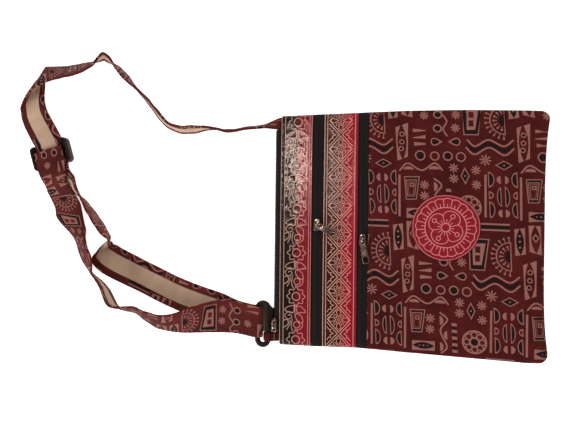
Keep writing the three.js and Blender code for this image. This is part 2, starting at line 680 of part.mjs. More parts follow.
const COTTON = '#5a1f1e';
const LEATHER = '#6e1a26';
const CRIMSON = '#8c1c2c';
const TAPE = '#1d1a19';
const METAL = '#7d6a60';
const BEIGE = '#a58a6e';
const PLASTIC = '#2f2824';

addPiece(bag, 'back_panel', backPiece(), COTTON, 0.9, 0);
addPiece(bag, 'front_panel', frontPiece(FRONT_ROWS, CLOTH), COTTON, 0.9, 0);
addPiece(bag, 'leather_band_upper', frontPiece(BAND_UPPER_ROWS, BAND_WALL), LEATHER, 0.45, 0);
addPiece(bag, 'leather_band_lower', frontPiece(BAND_LOWER_ROWS, BAND_WALL), LEATHER, 0.45, 0);
addPiece(bag, 'zip_tape_upper', frontPiece(ZIP_UPPER_ROWS, TAPE_WALL), TAPE, 0.8, 0);
addPiece(bag, 'zip_tape_lower', frontPiece(ZIP_LOWER_ROWS, TAPE_WALL), TAPE, 0.8, 0);
addPiece(bag, 'zip_tape_mouth', mouthZip(), TAPE, 0.8, 0);
addPiece(bag, 'round_patch', patchPiece(), CRIMSON, 0.5, 0);

// Where a slider stands: on the front, or on the rounded mouth tape where that leans as the slider does.
function zipPlace(zip) {
  if (zip.lean === 0) return new THREE.Vector3(zip.x, zip.y, frontOuter(zip.x, zip.y) + SLIDER.gap);
  const half = mouthHeight(zip.y) / 2;
  const angle = Math.atan2(half, MOUTH_ZIP.reach * Math.tan(zip.lean * DEG));
  const x = zip.x - PIECE_GAP - MOUTH_ZIP.reach * Math.cos(angle);
  const z = half + 0.1 + half * Math.sin(angle);
  const out = new THREE.Vector3(-Math.sin(zip.lean * DEG), 0, Math.cos(zip.lean * DEG));
  return new THREE.Vector3(x, zip.y, z).addScaledVector(out, SLIDER.gap);
}

ZIPS.forEach((zip) => {
  const place = new THREE.Group();
  place.position.copy(zipPlace(zip));
  place.rotation.set(0, -zip.lean * DEG, zip.turn * DEG, 'YXZ');
  addPiece(place, `zip_slider_${zip.key}`, sliderGeometry(zip), METAL, 0.35, 1);
  const tab = addPiece(place, `zip_pull_${zip.key}`, tabGeometry(zip), METAL, 0.35, 1);
  tab.position.z = SLIDER.height + TAB.axisUp;
  bag.add(place);
});

addPiece(bag, 'strap_cover', strapPiece(COVER_OUTLINE, COVER_CAP), COTTON, 0.9, 0);
addPiece(bag, 'strap_webbing', strapPiece(WEB_OUTLINE, WEB_CAP), BEIGE, 0.95, 0);

const glide = addPiece(bag, 'strap_slider', glideGeometry(), PLASTIC, 0.5, 0);
glide.position.set(GLIDE.x, GLIDE.y, 0);
glide.rotation.z = Math.atan2(glideAlong.y, glideAlong.x);

const ring = addPiece(bag, 'strap_ring', ringGeometry(), PLASTIC, 0.5, 0);
ring.position.set(RING.x, RING.y, RING.z);

addPiece(bag, 'ring_tab', ringTabGeometry(), COTTON, 0.9, 0);

export default bag;
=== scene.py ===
import math
import bpy
import numpy as np
from mathutils import Matrix, Quaternion, Vector
from mathutils.geometry import delaunay_2d_cdt
from mathutils.kdtree import KDTree


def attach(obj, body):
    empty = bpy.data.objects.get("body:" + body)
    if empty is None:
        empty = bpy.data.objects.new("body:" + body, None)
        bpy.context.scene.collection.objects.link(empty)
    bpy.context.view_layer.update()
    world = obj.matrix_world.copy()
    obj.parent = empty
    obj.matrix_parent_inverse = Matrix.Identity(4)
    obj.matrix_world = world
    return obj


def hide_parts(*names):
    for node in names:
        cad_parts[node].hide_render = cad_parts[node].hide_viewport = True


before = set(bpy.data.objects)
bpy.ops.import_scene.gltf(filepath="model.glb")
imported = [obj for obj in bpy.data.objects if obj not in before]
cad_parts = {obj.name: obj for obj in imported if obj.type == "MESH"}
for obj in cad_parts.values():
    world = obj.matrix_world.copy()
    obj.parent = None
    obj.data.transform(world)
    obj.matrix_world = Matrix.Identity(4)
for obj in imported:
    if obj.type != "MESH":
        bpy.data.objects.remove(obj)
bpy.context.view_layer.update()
bpy.ops.object.select_all(action="DESELECT")

# Lengths are in millimetres, as a bag maker measures them. MM turns them to metres.
MM = 0.001

# Outline of the bag: the mouth is at low x, the sewn bottom at high x.
MOUTH_X = -135.0
BOTTOM_X = 141.0
BOTTOM_PULL = 5.0
CORNER = 9.0
# Sewn sides: x, low side y, high side y.
SIDES = np.array([
    [-145, -126, 126], [-100, -126, 127], [-50, -125, 128], [0, -127, 129],
    [60, -129, 128.5], [120, -131, 126.5], [145, -130.5, 125],
])
# Swell of the front along x, as a share of SWELL.
SWELL_ALONG = np.array([[-145, 0.3], [-100, 0.6], [-40, 0.95], [20, 1], [90, 0.85], [145, 0.5]])
SWELL = 5.0
# Thickness of the cotton, the leather and the zip tape.
CLOTH = 1.5
BAND_WALL = 1.8
TAPE_WALL = 1.2
# Heights of the sewn edges, and how wide and high the cloth rounds up from them.
SEAM_Z = 3.8
BACK_SEAM_Z = 3.5
EDGE_ROUND = 7.0
FRONT_RISE = 3.2
# Half of the gap between neighbouring pieces.
HALF_GAP = 0.15


def band_lift(x_from, x_to, crown):
    """A leather band's lift above the plain front by x: thin edges and a low crown."""
    return np.array([
        [x_from, 0.4], [x_from + 0.8, 0.9], [x_from + 3, 1.05], [crown, 1.1],
        [x_to - 3, 1.05], [x_to - 0.8, 0.9], [x_to, 0.4],
    ])


def zip_lift(middle, half):
    """A zip tape's lift above the plain front by x: sunk edges and two ridges with a parting line."""
    steps = [(half, -0.7), (3, -0.55), (1.2, 0.0), (0.4, 0.1)]
    rows = [[middle - away, lift] for away, lift in steps]
    rows.append([middle, -0.35])
    return np.array(rows + [[middle + away, lift] for away, lift in reversed(steps)])


# Pieces of the front from the mouth down.
BAND_UPPER = band_lift(MOUTH_X, -100.0, -118.0)
ZIP_UPPER = zip_lift(-94.0, 6.0)
BAND_LOWER = band_lift(-88.0, -51.0, -69.0)
ZIP_LOWER = zip_lift(-45.5, 5.5)
FRONT_X = -40.0
FRONT_LIFT = np.array([
    [FRONT_X, 0.1], [-39.2, 0.5], [-38, 0.65], [-36.6, 0.45], [-36, 0.2], [-35.4, 0.35],
    [-30, 0.15], [-20, 0], [BOTTOM_X, 0],
])
# Tape round the mouth: its two ends, its reach past the bands, wall, drop under the front, and lift off
# the table.
MOUTH_ZIP = {"low": -111.8, "high": 111.0, "reach": 6.0, "wall": 1.3, "drop": 0.6, "lift": 0.1}
# Round patch: its middle, radius, thickness, and gap to the cloth under it.
PATCH = {"x": 39.0, "y": 6.0, "radius": 34.5, "thick": 1.6, "gap": 0.3}


# The cloth print is drawn as polygons of ink. Numbers say which ink, and later polygons cover earlier ones.
GROUND_INK = 0
LIGHT_INK = 1
DARK_INK = 2


def hex_colour(text):
    """An sRGB hex value as a linear colour."""
    parts = [int(text[i:i + 2], 16) / 255 for i in (1, 3, 5)]
    bent = [c / 12.92 if c <= 0.04045 else ((c + 0.055) / 1.055) ** 2.4 for c in parts]
    return (*bent, 1.0)


def fill(tree, node, inputs):
    """Gives sockets of a node a value, a hex colour or another node's output."""
    for key, value in inputs.items():
        if isinstance(value, bpy.types.NodeSocket):
            tree.links.new(value, node.inputs[key])
        else:
            node.inputs[key].default_value = hex_colour(value) if isinstance(value, str) else value


def add(tree, kind, inputs, out, **settings):
    """Adds a node with its settings and inputs, and gives one of its outputs."""
    made = tree.nodes.new("ShaderNode" + kind)
    for key, value in settings.items():
        setattr(made, key, value)
    fill(tree, made, inputs)
    return made.outputs[out]


def start_material(name, roughness, metallic=0.0):
    """A new material, its node tree and its main shader."""
    material = bpy.data.materials.new(name)
    material.use_nodes = True
    tree = material.node_tree
    shader = tree.nodes["Principled BSDF"]
    fill(tree, shader, {"Roughness": roughness, "Metallic": metallic})
    return material, tree, shader


def per_size(size):
    """Scale of a pattern on Object coordinates whose spots have a size in millimetres."""
    return 1 / (size * MM)


def thread_rows(tree, place, spacing):
    """Height of crossing threads: spacing is the thread spacing in millimetres."""
    waves = {"Vector": place, "Scale": 2 * math.pi / 20 / spacing}
    warp = add(tree, "TexWave", waves, "Fac", bands_direction="X")
    weft = add(tree, "TexWave", waves, "Fac", bands_direction="Y")
    return add(tree, "Math", {0: warp, 1: weft}, 0, operation="MULTIPLY")


def printed_cotton(name, deep, faded):
    """Plain-weave cotton with thin block-printed ink: matt, a little uneven, fine threads.
    deep and faded are the ground's dye where it is thick and where it is worn."""
    material, tree, shader = start_material(name, 0.82)
    ink = add(tree, "Attribute", {}, "Fac", attribute_name="ink")
    flat = add(tree, "Attribute", {}, "Vector", attribute_name="flat")
    light = add(tree, "Math", {0: ink, 1: LIGHT_INK, 2: 0.3}, 0, operation="COMPARE")
    dark = add(tree, "Math", {0: ink, 1: (LIGHT_INK + DARK_INK) / 2}, 0, operation="GREATER_THAN")
    # Uneven dye in patches of about 40 mm down to 1 mm, and specks of bare thread about 1.25 mm across.
    dye = add(tree, "TexNoise", {"Vector": flat, "Scale": 1 / 40, "Detail": 6.0, "Roughness": 0.7}, "Fac")
    patchy = add(tree, "MapRange", {"Value": dye, "From Min": 0.3, "From Max": 0.7}, "Result")
    speck = add(tree, "TexNoise", {"Vector": flat, "Scale": 1 / 1.25, "Detail": 2.0}, "Fac")
    ground = add(tree, "Mix", {0: patchy, 6: deep, 7: faded}, 2, data_type="RGBA")
    salmon = add(tree, "Mix", {0: speck, 6: "#7E4C45", 7: "#9E6B61"}, 2, data_type="RGBA")
    black = add(tree, "Mix", {0: speck, 6: "#150A09", 7: "#22110F"}, 2, data_type="RGBA")
    first = add(tree, "Mix", {0: light, 6: ground, 7: salmon}, 2, data_type="RGBA")
    colour = add(tree, "Mix", {0: dark, 6: first, 7: black}, 2, data_type="RGBA")
    # Threads are 0.4 mm apart in the cloth; they are drawn at 0.9 mm so that they show.
    threads = thread_rows(tree, flat, 0.9)
    height = add(tree, "Math", {0: threads, 1: speck}, 0, operation="ADD")
    bump = add(tree, "Bump", {"Strength": 0.35, "Distance": 0.0002, "Height": height}, "Normal")
    fill(tree, shader, {"Base Color": colour, "Normal": bump, "Specular IOR Level": 0.12})
    return material


def embossed_leather(name, shade, dark_side, light_side, line_dark, line_light, fade, roughness, gloss):
    """Goat leather, embossed and dyed by hand: lacquered half gloss, fine grain, raised lines in pale ink.
    fade gives the two x between which the dye goes from the dark side to the light side, and gloss is
    the strength of the lacquer's reflection."""
    material, tree, shader = start_material(name, roughness)
    ink = add(tree, "Attribute", {}, "Fac", attribute_name="ink")
    place = add(tree, "TexCoord", {}, "Object")
    along = add(tree, "SeparateXYZ", {0: place}, "X")
    # The dye's edge wanders by up to 5 mm to each side, in waves about 14 mm long.
    wander = add(tree, "TexNoise", {"Vector": place, "Scale": per_size(14.3), "Detail": 3.0}, "Fac")
    reach = 5 * MM
    shift = add(tree, "Math", {0: wander, 1: 2 * reach, 2: along}, 0, operation="MULTIPLY_ADD")
    blend = add(tree, "MapRange", {
        "Value": shift, "From Min": fade[0] * MM + reach, "From Max": fade[1] * MM + reach,
    }, "Result", interpolation_type="SMOOTHSTEP")
    # Blotches in the dye are about 4 mm across.
    mottle = add(tree, "TexNoise", {"Vector": place, "Scale": per_size(3.85), "Detail": 4.0}, "Fac")
    dyed = add(tree, "Mix", {0: blend, 6: dark_side, 7: light_side}, 2, data_type="RGBA")
    worn = add(tree, "Mix", {0: mottle, 6: shade, 7: dyed}, 2, data_type="RGBA")
    base = add(tree, "Mix", {0: 0.6, 6: worn, 7: dyed}, 2, data_type="RGBA")
    lines = add(tree, "Mix", {0: blend, 6: line_dark, 7: line_light}, 2, data_type="RGBA")
    # Pale ink is rubbed thin in spots.
    rubbed = add(tree, "MapRange", {
        "Value": mottle, "From Min": 0.2, "From Max": 0.5, "To Min": 0.72, "To Max": 1.0,
    }, "Result")
    cover = add(tree, "Math", {0: ink, 1: rubbed}, 0, operation="MULTIPLY")
    colour = add(tree, "Mix", {0: cover, 6: base, 7: lines}, 2, data_type="RGBA")
    # Grain cells are about 0.9 mm.
    grain = add(tree, "TexVoronoi", {"Vector": place, "Scale": per_size(0.91)}, "Distance")
    bump = add(tree, "Bump", {"Strength": 0.1, "Distance": 0.00012, "Height": grain}, "Normal")
    rough = add(tree, "MapRange", {
        "Value": mottle, "To Min": roughness - 0.05, "To Max": roughness + 0.08,
    }, "Result")
    fill(tree, shader, {
        "Base Color": colour, "Roughness": rough, "Normal": bump,
        "Specular IOR Level": gloss, "Specular Tint": "#FFE6DA",
    })
    return material


def zip_tape():
    """Woven polyester zip tape: near black, matt, with fine crossing ribs."""
    material, tree, shader = start_material("woven_polyester_tape", 0.7)
    flat = add(tree, "Attribute", {}, "Vector", attribute_name="flat")
    # Ribs are 0.5 mm apart in the tape; they are drawn at 0.8 mm so that they show. Lint is about 1.4 mm.
    threads = thread_rows(tree, flat, 0.8)
    lint = add(tree, "TexNoise", {"Vector": flat, "Scale": 1 / 1.43, "Detail": 3.0}, "Fac")
    colour = add(tree, "Mix", {0: lint, 6: "#0E0B0A", 7: "#1F1A18"}, 2, data_type="RGBA")
    bump = add(tree, "Bump", {"Strength": 0.5, "Distance": 0.0002, "Height": threads}, "Normal")
    fill(tree, shader, {"Base Color": colour, "Normal": bump, "Specular IOR Level": 0.12})
    return material


def nylon_coil():
    """Moulded nylon zip coil: black with a soft gloss and spots of dust about 2.5 mm wide."""
    material, tree, shader = start_material("nylon_coil", 0.42)
    place = add(tree, "TexCoord", {}, "Object")
    dust = add(tree, "TexNoise", {"Vector": place, "Scale": per_size(2.5), "Detail": 2.0}, "Fac")
    colour = add(tree, "Mix", {0: dust, 6: "#12100F", 7: "#2B2725"}, 2, data_type="RGBA")
    fill(tree, shader, {"Base Color": colour})
    return material


def worn_nickel():
    """Die-cast zinc with worn nickel plate: grey-brown metal, scuffed in marks about 1.1 mm long."""
    material, tree, shader = start_material("worn_nickel_plate", 0.35, 1.0)
    place = add(tree, "TexCoord", {}, "Object")
    scuff = add(tree, "TexNoise", {"Vector": place, "Scale": per_size(1.11), "Detail": 4.0}, "Fac")
    colour = add(tree, "Mix", {0: scuff, 6: "#614C43", 7: "#997F72"}, 2, data_type="RGBA")
    rough = add(tree, "MapRange", {"Value": scuff, "To Min": 0.17, "To Max": 0.3}, "Result")
    bump = add(tree, "Bump", {"Strength": 0.05, "Distance": 0.0001, "Height": scuff}, "Normal")
    fill(tree, shader, {"Base Color": colour, "Roughness": rough, "Normal": bump})
    return material


def cotton_webbing():
    """Undyed cotton webbing: matt beige with fine crossing ribs, with painted shade in the hollows between
    them, and lighter and darker in patches.
    """
    material, tree, shader = start_material("undyed_cotton_webbing", 0.9)
    flat = add(tree, "Attribute", {}, "Vector", attribute_name="flat")
    # Ribs are 0.7 mm apart in the webbing; they are drawn at 1.2 mm so that they show.
    threads = thread_rows(tree, flat, 1.2)
    # The tone goes lighter and darker in patches about 33 mm long that reach across the webbing; its fuzz is
    # about 1.1 mm.
    patch = add(tree, "Mapping", {"Vector": flat, "Scale": (1 / 33.3, 1 / 83.3, 1.0)}, "Vector")
    tone = add(tree, "TexNoise", {"Vector": patch, "Scale": 1.0, "Detail": 3.0}, "Fac")
    fuzz = add(tree, "TexNoise", {"Vector": flat, "Scale": 1 / 1.11, "Detail": 2.0}, "Fac")
    wide = add(tree, "MapRange", {"Value": tone, "From Min": 0.35, "From Max": 0.65}, "Result")
    soft = add(tree, "Mix", {0: wide, 6: "#AE8E7A", 7: "#CCAE92"}, 2, data_type="RGBA")
    # Painted shade: the colour goes darker where the ribs dip, in the hollows between the threads.
    painted_rib_shade = add(tree, "Mix", {0: threads, 6: "#9C806C", 7: soft}, 2, data_type="RGBA")
    colour = add(tree, "Mix", {0: 0.65, 6: painted_rib_shade, 7: soft}, 2, data_type="RGBA")
    height = add(tree, "Math", {0: threads, 1: fuzz}, 0, operation="ADD")
    bump = add(tree, "Bump", {"Strength": 0.5, "Distance": 0.0003, "Height": height}, "Normal")
    fill(tree, shader, {"Base Color": colour, "Normal": bump, "Specular IOR Level": 0.2})
    return material


def moulded_plastic():
    """Injection-moulded acetal: black, smooth with faint sink marks, soft gloss and paler rub marks
    about 3.3 mm across."""
    material, tree, shader = start_material("moulded_acetal", 0.38)
    place = add(tree, "TexCoord", {}, "Object")
    rub = add(tree, "TexNoise", {"Vector": place, "Scale": per_size(3.33), "Detail": 4.0}, "Fac")
    colour = add(tree, "Mix", {0: rub, 6: "#0D0806", 7: "#241912"}, 2, data_type="RGBA")
    rough = add(tree, "MapRange", {"Value": rub, "To Min": 0.28, "To Max": 0.5}, "Result")
    bump = add(tree, "Bump", {"Strength": 0.1, "Distance": 0.0002, "Height": rub}, "Normal")
    fill(tree, shader, {
        "Base Color": colour, "Roughness": rough, "Normal": bump,
        "Specular IOR Level": 0.18, "Specular Tint": "#FFDCC8",
    })
    return material


def sewing_thread(name, colour):
    """Spun polyester sewing thread: matt, with a faint twist that turns every 0.7 mm or so."""
    material, tree, shader = start_material(name, 0.75)
    place = add(tree, "TexCoord", {}, "Object")
    twist = add(tree, "TexNoise", {"Vector": place, "Scale": per_size(0.667)}, "Fac")
    shade = add(tree, "Mix", {0: twist, 6: "#1A0A0A", 7: colour}, 2, data_type="RGBA")
    mixed = add(tree, "Mix", {0: 0.6, 6: shade, 7: colour}, 2, data_type="RGBA")
    fill(tree, shader, {"Base Color": mixed})
    return material


COTTON = printed_cotton("block_printed_cotton", "#300808", "#571615")
STRAP_COTTON = printed_cotton("worn_printed_cotton", "#3A1211", "#63231F")
UPPER_LEATHER = embossed_leather("black_to_crimson_leather", "#180608", "#0D0908", "#7E1020",
                                 "#B38C79", "#C87C74", (-120, -112), 0.19, 0.42)
LOWER_LEATHER = embossed_leather("brown_to_crimson_leather", "#300A0D", "#3E1113", "#981628",
                                 "#C79A86", "#D6817A", (-76, -58), 0.24, 0.2)
PATCH_LEATHER = embossed_leather("crimson_leather", "#600A18", "#860D21", "#8A0E23",
                                 "#CB7472", "#CF7A77", (0, 20), 0.45, 0.26)
TAPE = zip_tape()
COIL = nylon_coil()
METAL = worn_nickel()
WEBBING = cotton_webbing()
PLASTIC = moulded_plastic()
MAROON_THREAD = sewing_thread("maroon_sewing_thread", "#6A2A28")
BLACK_THREAD = sewing_thread("black_sewing_thread", "#2A2220")


def low_side(x):
    """y of the sewn side where the loop is."""
    return np.interp(x, SIDES[:, 0], SIDES[:, 1])


def high_side(x):
    """y of the sewn side where the strap is sewn in."""
    return np.interp(x, SIDES[:, 0], SIDES[:, 2])


def edge_distance(x, y):
    """Distance in from the sewn edge, with rounded bottom corners."""
    from_bottom = BOTTOM_X - x
    from_side = np.minimum(y - low_side(x), high_side(x) - y)
    over_x = CORNER - from_bottom
    over_y = CORNER - from_side
    in_corner = (over_x > 0) & (over_y > 0)
    return np.where(in_corner, CORNER - np.hypot(over_x, over_y), np.minimum(from_bottom, from_side))


def edge_rise(distance):
    """Quarter-round rise from 0 at the sewn edge to 1."""
    share = 1 - np.clip(distance / EDGE_ROUND, 0, 1)
    return np.sqrt(np.maximum(0, 1 - share * share))


def front_height(x, y):
    """Height of the plain front: its rounded edges and the swell of its middle."""
    across = (2 * y - low_side(x) - high_side(x)) / (high_side(x) - low_side(x))
    swell = SWELL * np.interp(x, SWELL_ALONG[:, 0], SWELL_ALONG[:, 1]) * (1 - across * across)
    return SEAM_Z + FRONT_RISE * edge_rise(edge_distance(x, y)) + np.maximum(swell, 0)


def drawn_in(x, y):
    """The bottom edge is drawn in between its corners, fading out to no pull at x 60."""
    pull_from, corner_y = 60, 120
    near = np.clip((x - pull_from) / (BOTTOM_X - pull_from), 0, 1)
    near = near * near * (3 - 2 * near)
    across = np.minimum(np.abs(y) / corner_y, 1)
    return x - BOTTOM_PULL * near * (1 - across ** 4)


def pucker(x, y):
    """Small gathers that the seam pulls into the cloth next to it."""
    spacing, height = 3.5, 0.3
    inward = edge_distance(x, y)
    fade = np.clip(inward / 1.5, 0, 1) * np.exp(-inward / 5)
    wave = np.sin(2 * math.pi * (x + y) / spacing + 1.3 * np.sin(0.21 * (x - y)))
    return height * fade * wave


def slack(x, y):
    """Low waves of cloth that lies loose, faded where the patch holds it flat and at the seams."""
    from_patch = np.hypot(x - PATCH["x"], y - PATCH["y"]) - PATCH["radius"]
    fade = np.clip(from_patch / 15, 0, 1) * np.clip(edge_distance(x, y) / 20, 0, 1)
    wave = np.sin(0.062 * x + 0.021 * y + 0.8)
    wave = wave + 0.7 * np.sin(0.024 * x - 0.071 * y) + 0.5 * np.sin(0.13 * x + 0.05 * y)
    return 0.22 * fade * wave


def arc(u, v, half_u, half_v, start, stop, count):
    """Points on part of an ellipse, between two angles in degrees."""
    angle = np.radians(np.linspace(start, stop, count))
    return np.column_stack([u + half_u * np.cos(angle), v + half_v * np.sin(angle)])


def disc(u, v, half_u, half_v=None, count=16):
    """A circle, or an ellipse when both halves are given."""
    return arc(u, v, half_u, half_v or half_u, 0, 360 - 360 / count, count)


def half_moon(flat_u, from_v, to_v, bulge_u, count=13):
    """A half round with its flat side at flat_u."""
    return arc(flat_u, (from_v + to_v) / 2, bulge_u - flat_u, (to_v - from_v) / 2, -90, 90, count)


def lens(u, v, half_u, half_v, count=11):
    """An eye shape with its points at low and high v."""
    share = np.linspace(-1, 1, count)
    right = np.column_stack([u + half_u * (1 - share ** 2), v + half_v * share])
    left = np.column_stack([u - half_u * (1 - share ** 2), v + half_v * share])
    return np.vstack([right, left[-2:0:-1]])


def teardrop(tip, tail, half, count=18):
    """An outline pointed at tip and round at tail; half is half its width."""
    tip, tail = np.array(tip, float), np.array(tail, float)
    angle = np.radians(np.arange(count) * 360 / count)
    along = 0.5 + 0.5 * np.cos(angle)
    wide = np.sin(angle) * np.sin(angle / 2) ** 1.4
    side = np.array([-(tip - tail)[1], (tip - tail)[0]]) / np.linalg.norm(tip - tail)
    return tail + along[:, None] * (tip - tail) + (half * wide / 0.72)[:, None] * side


def double_area(polygon):
    """Twice a polygon's area, positive when its points run anticlockwise."""
    ahead = np.roll(polygon, -1, axis=0)
    return np.sum(polygon[:, 0] * ahead[:, 1] - ahead[:, 0] * polygon[:, 1])


def inset(polygon, distance):
    """Moves each side of a polygon inward."""
    polygon = np.asarray(polygon, float)
    edge = np.roll(polygon, -1, axis=0) - polygon
    edge = edge / np.linalg.norm(edge, axis=1)[:, None]
    normal = np.column_stack([-edge[:, 1], edge[:, 0]]) * np.sign(double_area(polygon))
    both = normal + np.roll(normal, 1, axis=0)
    size = np.maximum(np.sum(both * both, axis=1), 0.5)
    return polygon + distance * 2 * both / size[:, None]


def smooth_line(points, per=6):
    """A smooth line through points."""
    points = np.asarray(points, float)
    padded = np.vstack([2 * points[0] - points[1], points, 2 * points[-1] - points[-2]])
    line = []
    for i in range(len(points) - 1):
        a, b, c, d = padded[i:i + 4]
        for t in np.linspace(0, 1, per, endpoint=False):
            line.append(0.5 * (2 * b + (c - a) * t + (2 * a - 5 * b + 4 * c - d) * t ** 2
                               + (3 * b - a - 3 * c + d) * t ** 3))
    return np.vstack([line, points[-1]])


def stroke(line, width):
    """A line of ink as one four-sided polygon for each step, mitred where it can be."""
    line = np.asarray(line, float)
    step = np.diff(line, axis=0)
    step = step / np.linalg.norm(step, axis=1)[:, None]
    normal = np.column_stack([-step[:, 1], step[:, 0]])
    closed = np.allclose(line[0], line[-1])
    before = np.vstack([normal[-1:] if closed else normal[:1], normal])
    after = np.vstack([normal, normal[:1] if closed else normal[-1:]])
    both = before + after
    mitre = both * (width / np.maximum(np.sum(both * both, axis=1), 0.8))[:, None]
    quads = []
    for i, side in enumerate(normal):
        a, b = line[i], line[i + 1]
        quad = np.array([a + mitre[i], a - mitre[i], b - mitre[i + 1], b + mitre[i + 1]])
        edge = np.roll(quad, -1, axis=0) - quad
        ahead = np.roll(edge, -1, axis=0)
        turn = edge[:, 0] * ahead[:, 1] - edge[:, 1] * ahead[:, 0]
        if turn.min() < 1e-3:
            quad = np.array([a, a, b, b]) + width / 2 * np.array([side, -side, -side, side])
        quads.append(quad)
    return quads


def closed_line(polygon):
    """A polygon's outline as a line that ends where it starts."""
    return np.vstack([polygon, polygon[:1]])


def heading(degrees):
    """One step in the direction of an angle."""
    return np.array([math.cos(math.radians(degrees)), math.sin(math.radians(degrees))])


def star(u, v, radius):
    """Eight short arms, thicker toward their ends."""
    centre = np.array([u, v])
    arms = []
    for k in range(8):
        out = heading(45 * k + 8)
        side = np.array([-out[1], out[0]])
        # Share of the way out along the arm, and half its width there.
        shape = ((0.1, -0.4), (0.75, -0.85), (1, 0), (0.75, 0.85), (0.1, 0.4))
        arms.append(np.array([centre + share * radius * out + half * side for share, half in shape]))
    return arms


def ray(u, v, angle, start, stop):
    """A thin ray with a dot on its end."""
    root = np.array([u, v]) + start * heading(angle)
    end = np.array([u, v]) + stop * heading(angle)
    return stroke([root, end], 0.9) + [disc(*end, 1.15, count=9)]


# Repeat of the print on the cloth, in millimetres.
REPEAT_U = 120.3
REPEAT_V = 138.7


def print_tile():
    """One repeat of the print, a mix of common folk figures: suns, planks, waves, moons, stars and rings.
    u runs from the mouth to the bottom of the bag, v runs down."""
    tile = []

    def put(ink, *polygons):
        tile.extend((ink, np.asarray(polygon, float)) for polygon in polygons)

    # Half sun with two rows of rays.
    put(LIGHT_INK, half_moon(22.7, 15.6, 45.6, 7.3, 21))
    put(GROUND_INK, half_moon(21.6, 16.9, 44.3, 8.6, 21))
    for k in range(12):
        put(LIGHT_INK, *ray(22.5, 30.6, 96 + 15.3 * k, 15.4, 19.2))
    put(DARK_INK, half_moon(21.6, 25.2, 36.0, 16.4))
    for k in range(7):
        put(LIGHT_INK, *ray(21.6, 30.6, 105 + 25 * k, 6.8, 10.2))

    # Plank with a dark eye and three dots.
    put(LIGHT_INK, [(26.3, 2.6), (36.5, 0.9), (36.5, 27.5), (26.3, 29.4)])
    put(DARK_INK, lens(31.4, 15.1, 3.8, 13.4))
    put(LIGHT_INK, *[disc(31.2, v, 1.1, count=9) for v in (9.3, 14.9, 20.8)])
    # Plank with a lozenge.
    put(LIGHT_INK, [(40.2, -1.8), (51.8, -1.6), (51.8, 27.8), (40.2, 24.7)])
    put(GROUND_INK, lens(46.4, 12.2, 4.3, 14.2))
    put(LIGHT_INK, [(46.5, 6.2), (49.9, 10.9), (46.5, 15.6), (43.1, 10.9)])
    put(DARK_INK, [(46.5, 8.2), (48.4, 10.9), (46.5, 13.6), (44.6, 10.9)])
    # Plank with three rings.
    put(LIGHT_INK, [(33.3, 38.3), (46.5, 33.5), (44.7, 69.4), (33.8, 73.8)])
    put(GROUND_INK, lens(39.4, 53.6, 4.6, 19.6))
    for u, v in ((39.7, 45.6), (39.2, 53.8), (38.3, 61.0)):
        put(LIGHT_INK, disc(u, v, 2.7))
        put(DARK_INK, disc(u, v, 1.6, count=12))

    # Chain of loops with its string.
    string = [(80.6, 8), (85.2, 15.5), (80.6, 22.2), (85.7, 31.4), (81.8, 39.6), (85.3, 47.3)]
    put(LIGHT_INK, *stroke(smooth_line(string), 1.5))
    for u, v in ((78.0, 10.0), (77.0, 24.6), (76.0, 39.2)):
        put(LIGHT_INK, disc(u, v, 4.7, 4.4))
        put(DARK_INK, disc(u, v, 3.2, 2.9))
    # Stars.
    for u, v, radius in ((63.2, 25.6, 5), (95.1, 24.8, 5), (93.9, 38.6, 5), (1.5, 71.6, 6.3),
                         (90.2, 80.3, 5.2), (112.0, 82.2, 5.2), (89.8, 91.3, 5.2), (112.0, 97.2, 5.2),
                         (60.2, 98.6, 5.2), (59.7, 109.9, 5.2)):
        put(LIGHT_INK, *star(u, v, radius))

    # Frame with two windows.
    outer = [(101.5, 13), (122, 13.5), (116.5, 46.2), (101.5, 46)]
    put(LIGHT_INK, outer)
    put(DARK_INK, inset(outer, 1.1))
    put(LIGHT_INK, [(105.2, 18.7), (118.2, 18.1), (113.4, 40.5), (105, 40.7)])
    put(GROUND_INK, [(107.6, 21.5), (112.8, 21.5), (112.6, 28), (107.6, 28)])
    put(GROUND_INK, [(107.2, 30.5), (112.2, 30.5), (111.8, 37), (107.2, 37)])

    # Three wedges.
    put(LIGHT_INK, [(51, 39.7), (64.5, 41.1), (64.5, 41.9), (51, 43.4)])
    put(LIGHT_INK, [(63.5, 46.3), (63.5, 50.2), (50.6, 49.7), (50.6, 48.9)])
    put(LIGHT_INK, [(51.7, 53.8), (63.3, 54.8), (63.3, 56.7), (51.7, 57.7)])
    # Two teardrops, point to point.
    for tip, tail, sign in (((80.6, 53.3), (68.5, 53.3), 1), ((85.7, 53.1), (98.3, 53.1), -1)):
        put(LIGHT_INK, teardrop(tip, tail, 4.3))
        put(DARK_INK, teardrop((tip[0] - 2.6 * sign, tip[1]), (tail[0] + 1.2 * sign, tail[1]), 3))

    # Double wave with black between its two lines.
    upper = smooth_line([(104.6, 50.7), (112.5, 57.4), (125.7, 50.8), (140.2, 57.1), (150.2, 50.7)], 8)
    lower = smooth_line([(103.1, 58.6), (111.5, 65.9), (126, 58.8), (140.4, 66.4), (150.4, 59.5)], 8)
    middle = (upper + lower) / 2
    half = np.interp(np.linspace(0, 1, len(middle)), [0, 0.1, 0.9, 1], [0.6, 2.0, 2.0, 0.6])[:, None]
    across = (lower - upper) / np.linalg.norm(lower - upper, axis=1)[:, None]
    put(DARK_INK, np.vstack([middle - half * across, (middle + half * across)[::-1]]))
    put(LIGHT_INK, *stroke(upper, 1.7), *stroke(lower, 1.7))

    # Row of circles, filled and open.
    for u, v, radius, filling in ((57.3, 67.9, 5.4, DARK_INK), (71.9, 68.3, 4.9, GROUND_INK),
                                  (85, 68.1, 5.0, DARK_INK), (97.9, 68.8, 5.1, GROUND_INK)):
        put(LIGHT_INK, disc(u, v, radius, count=20))
        put(filling, disc(u, v, radius - 1.35, count=18))

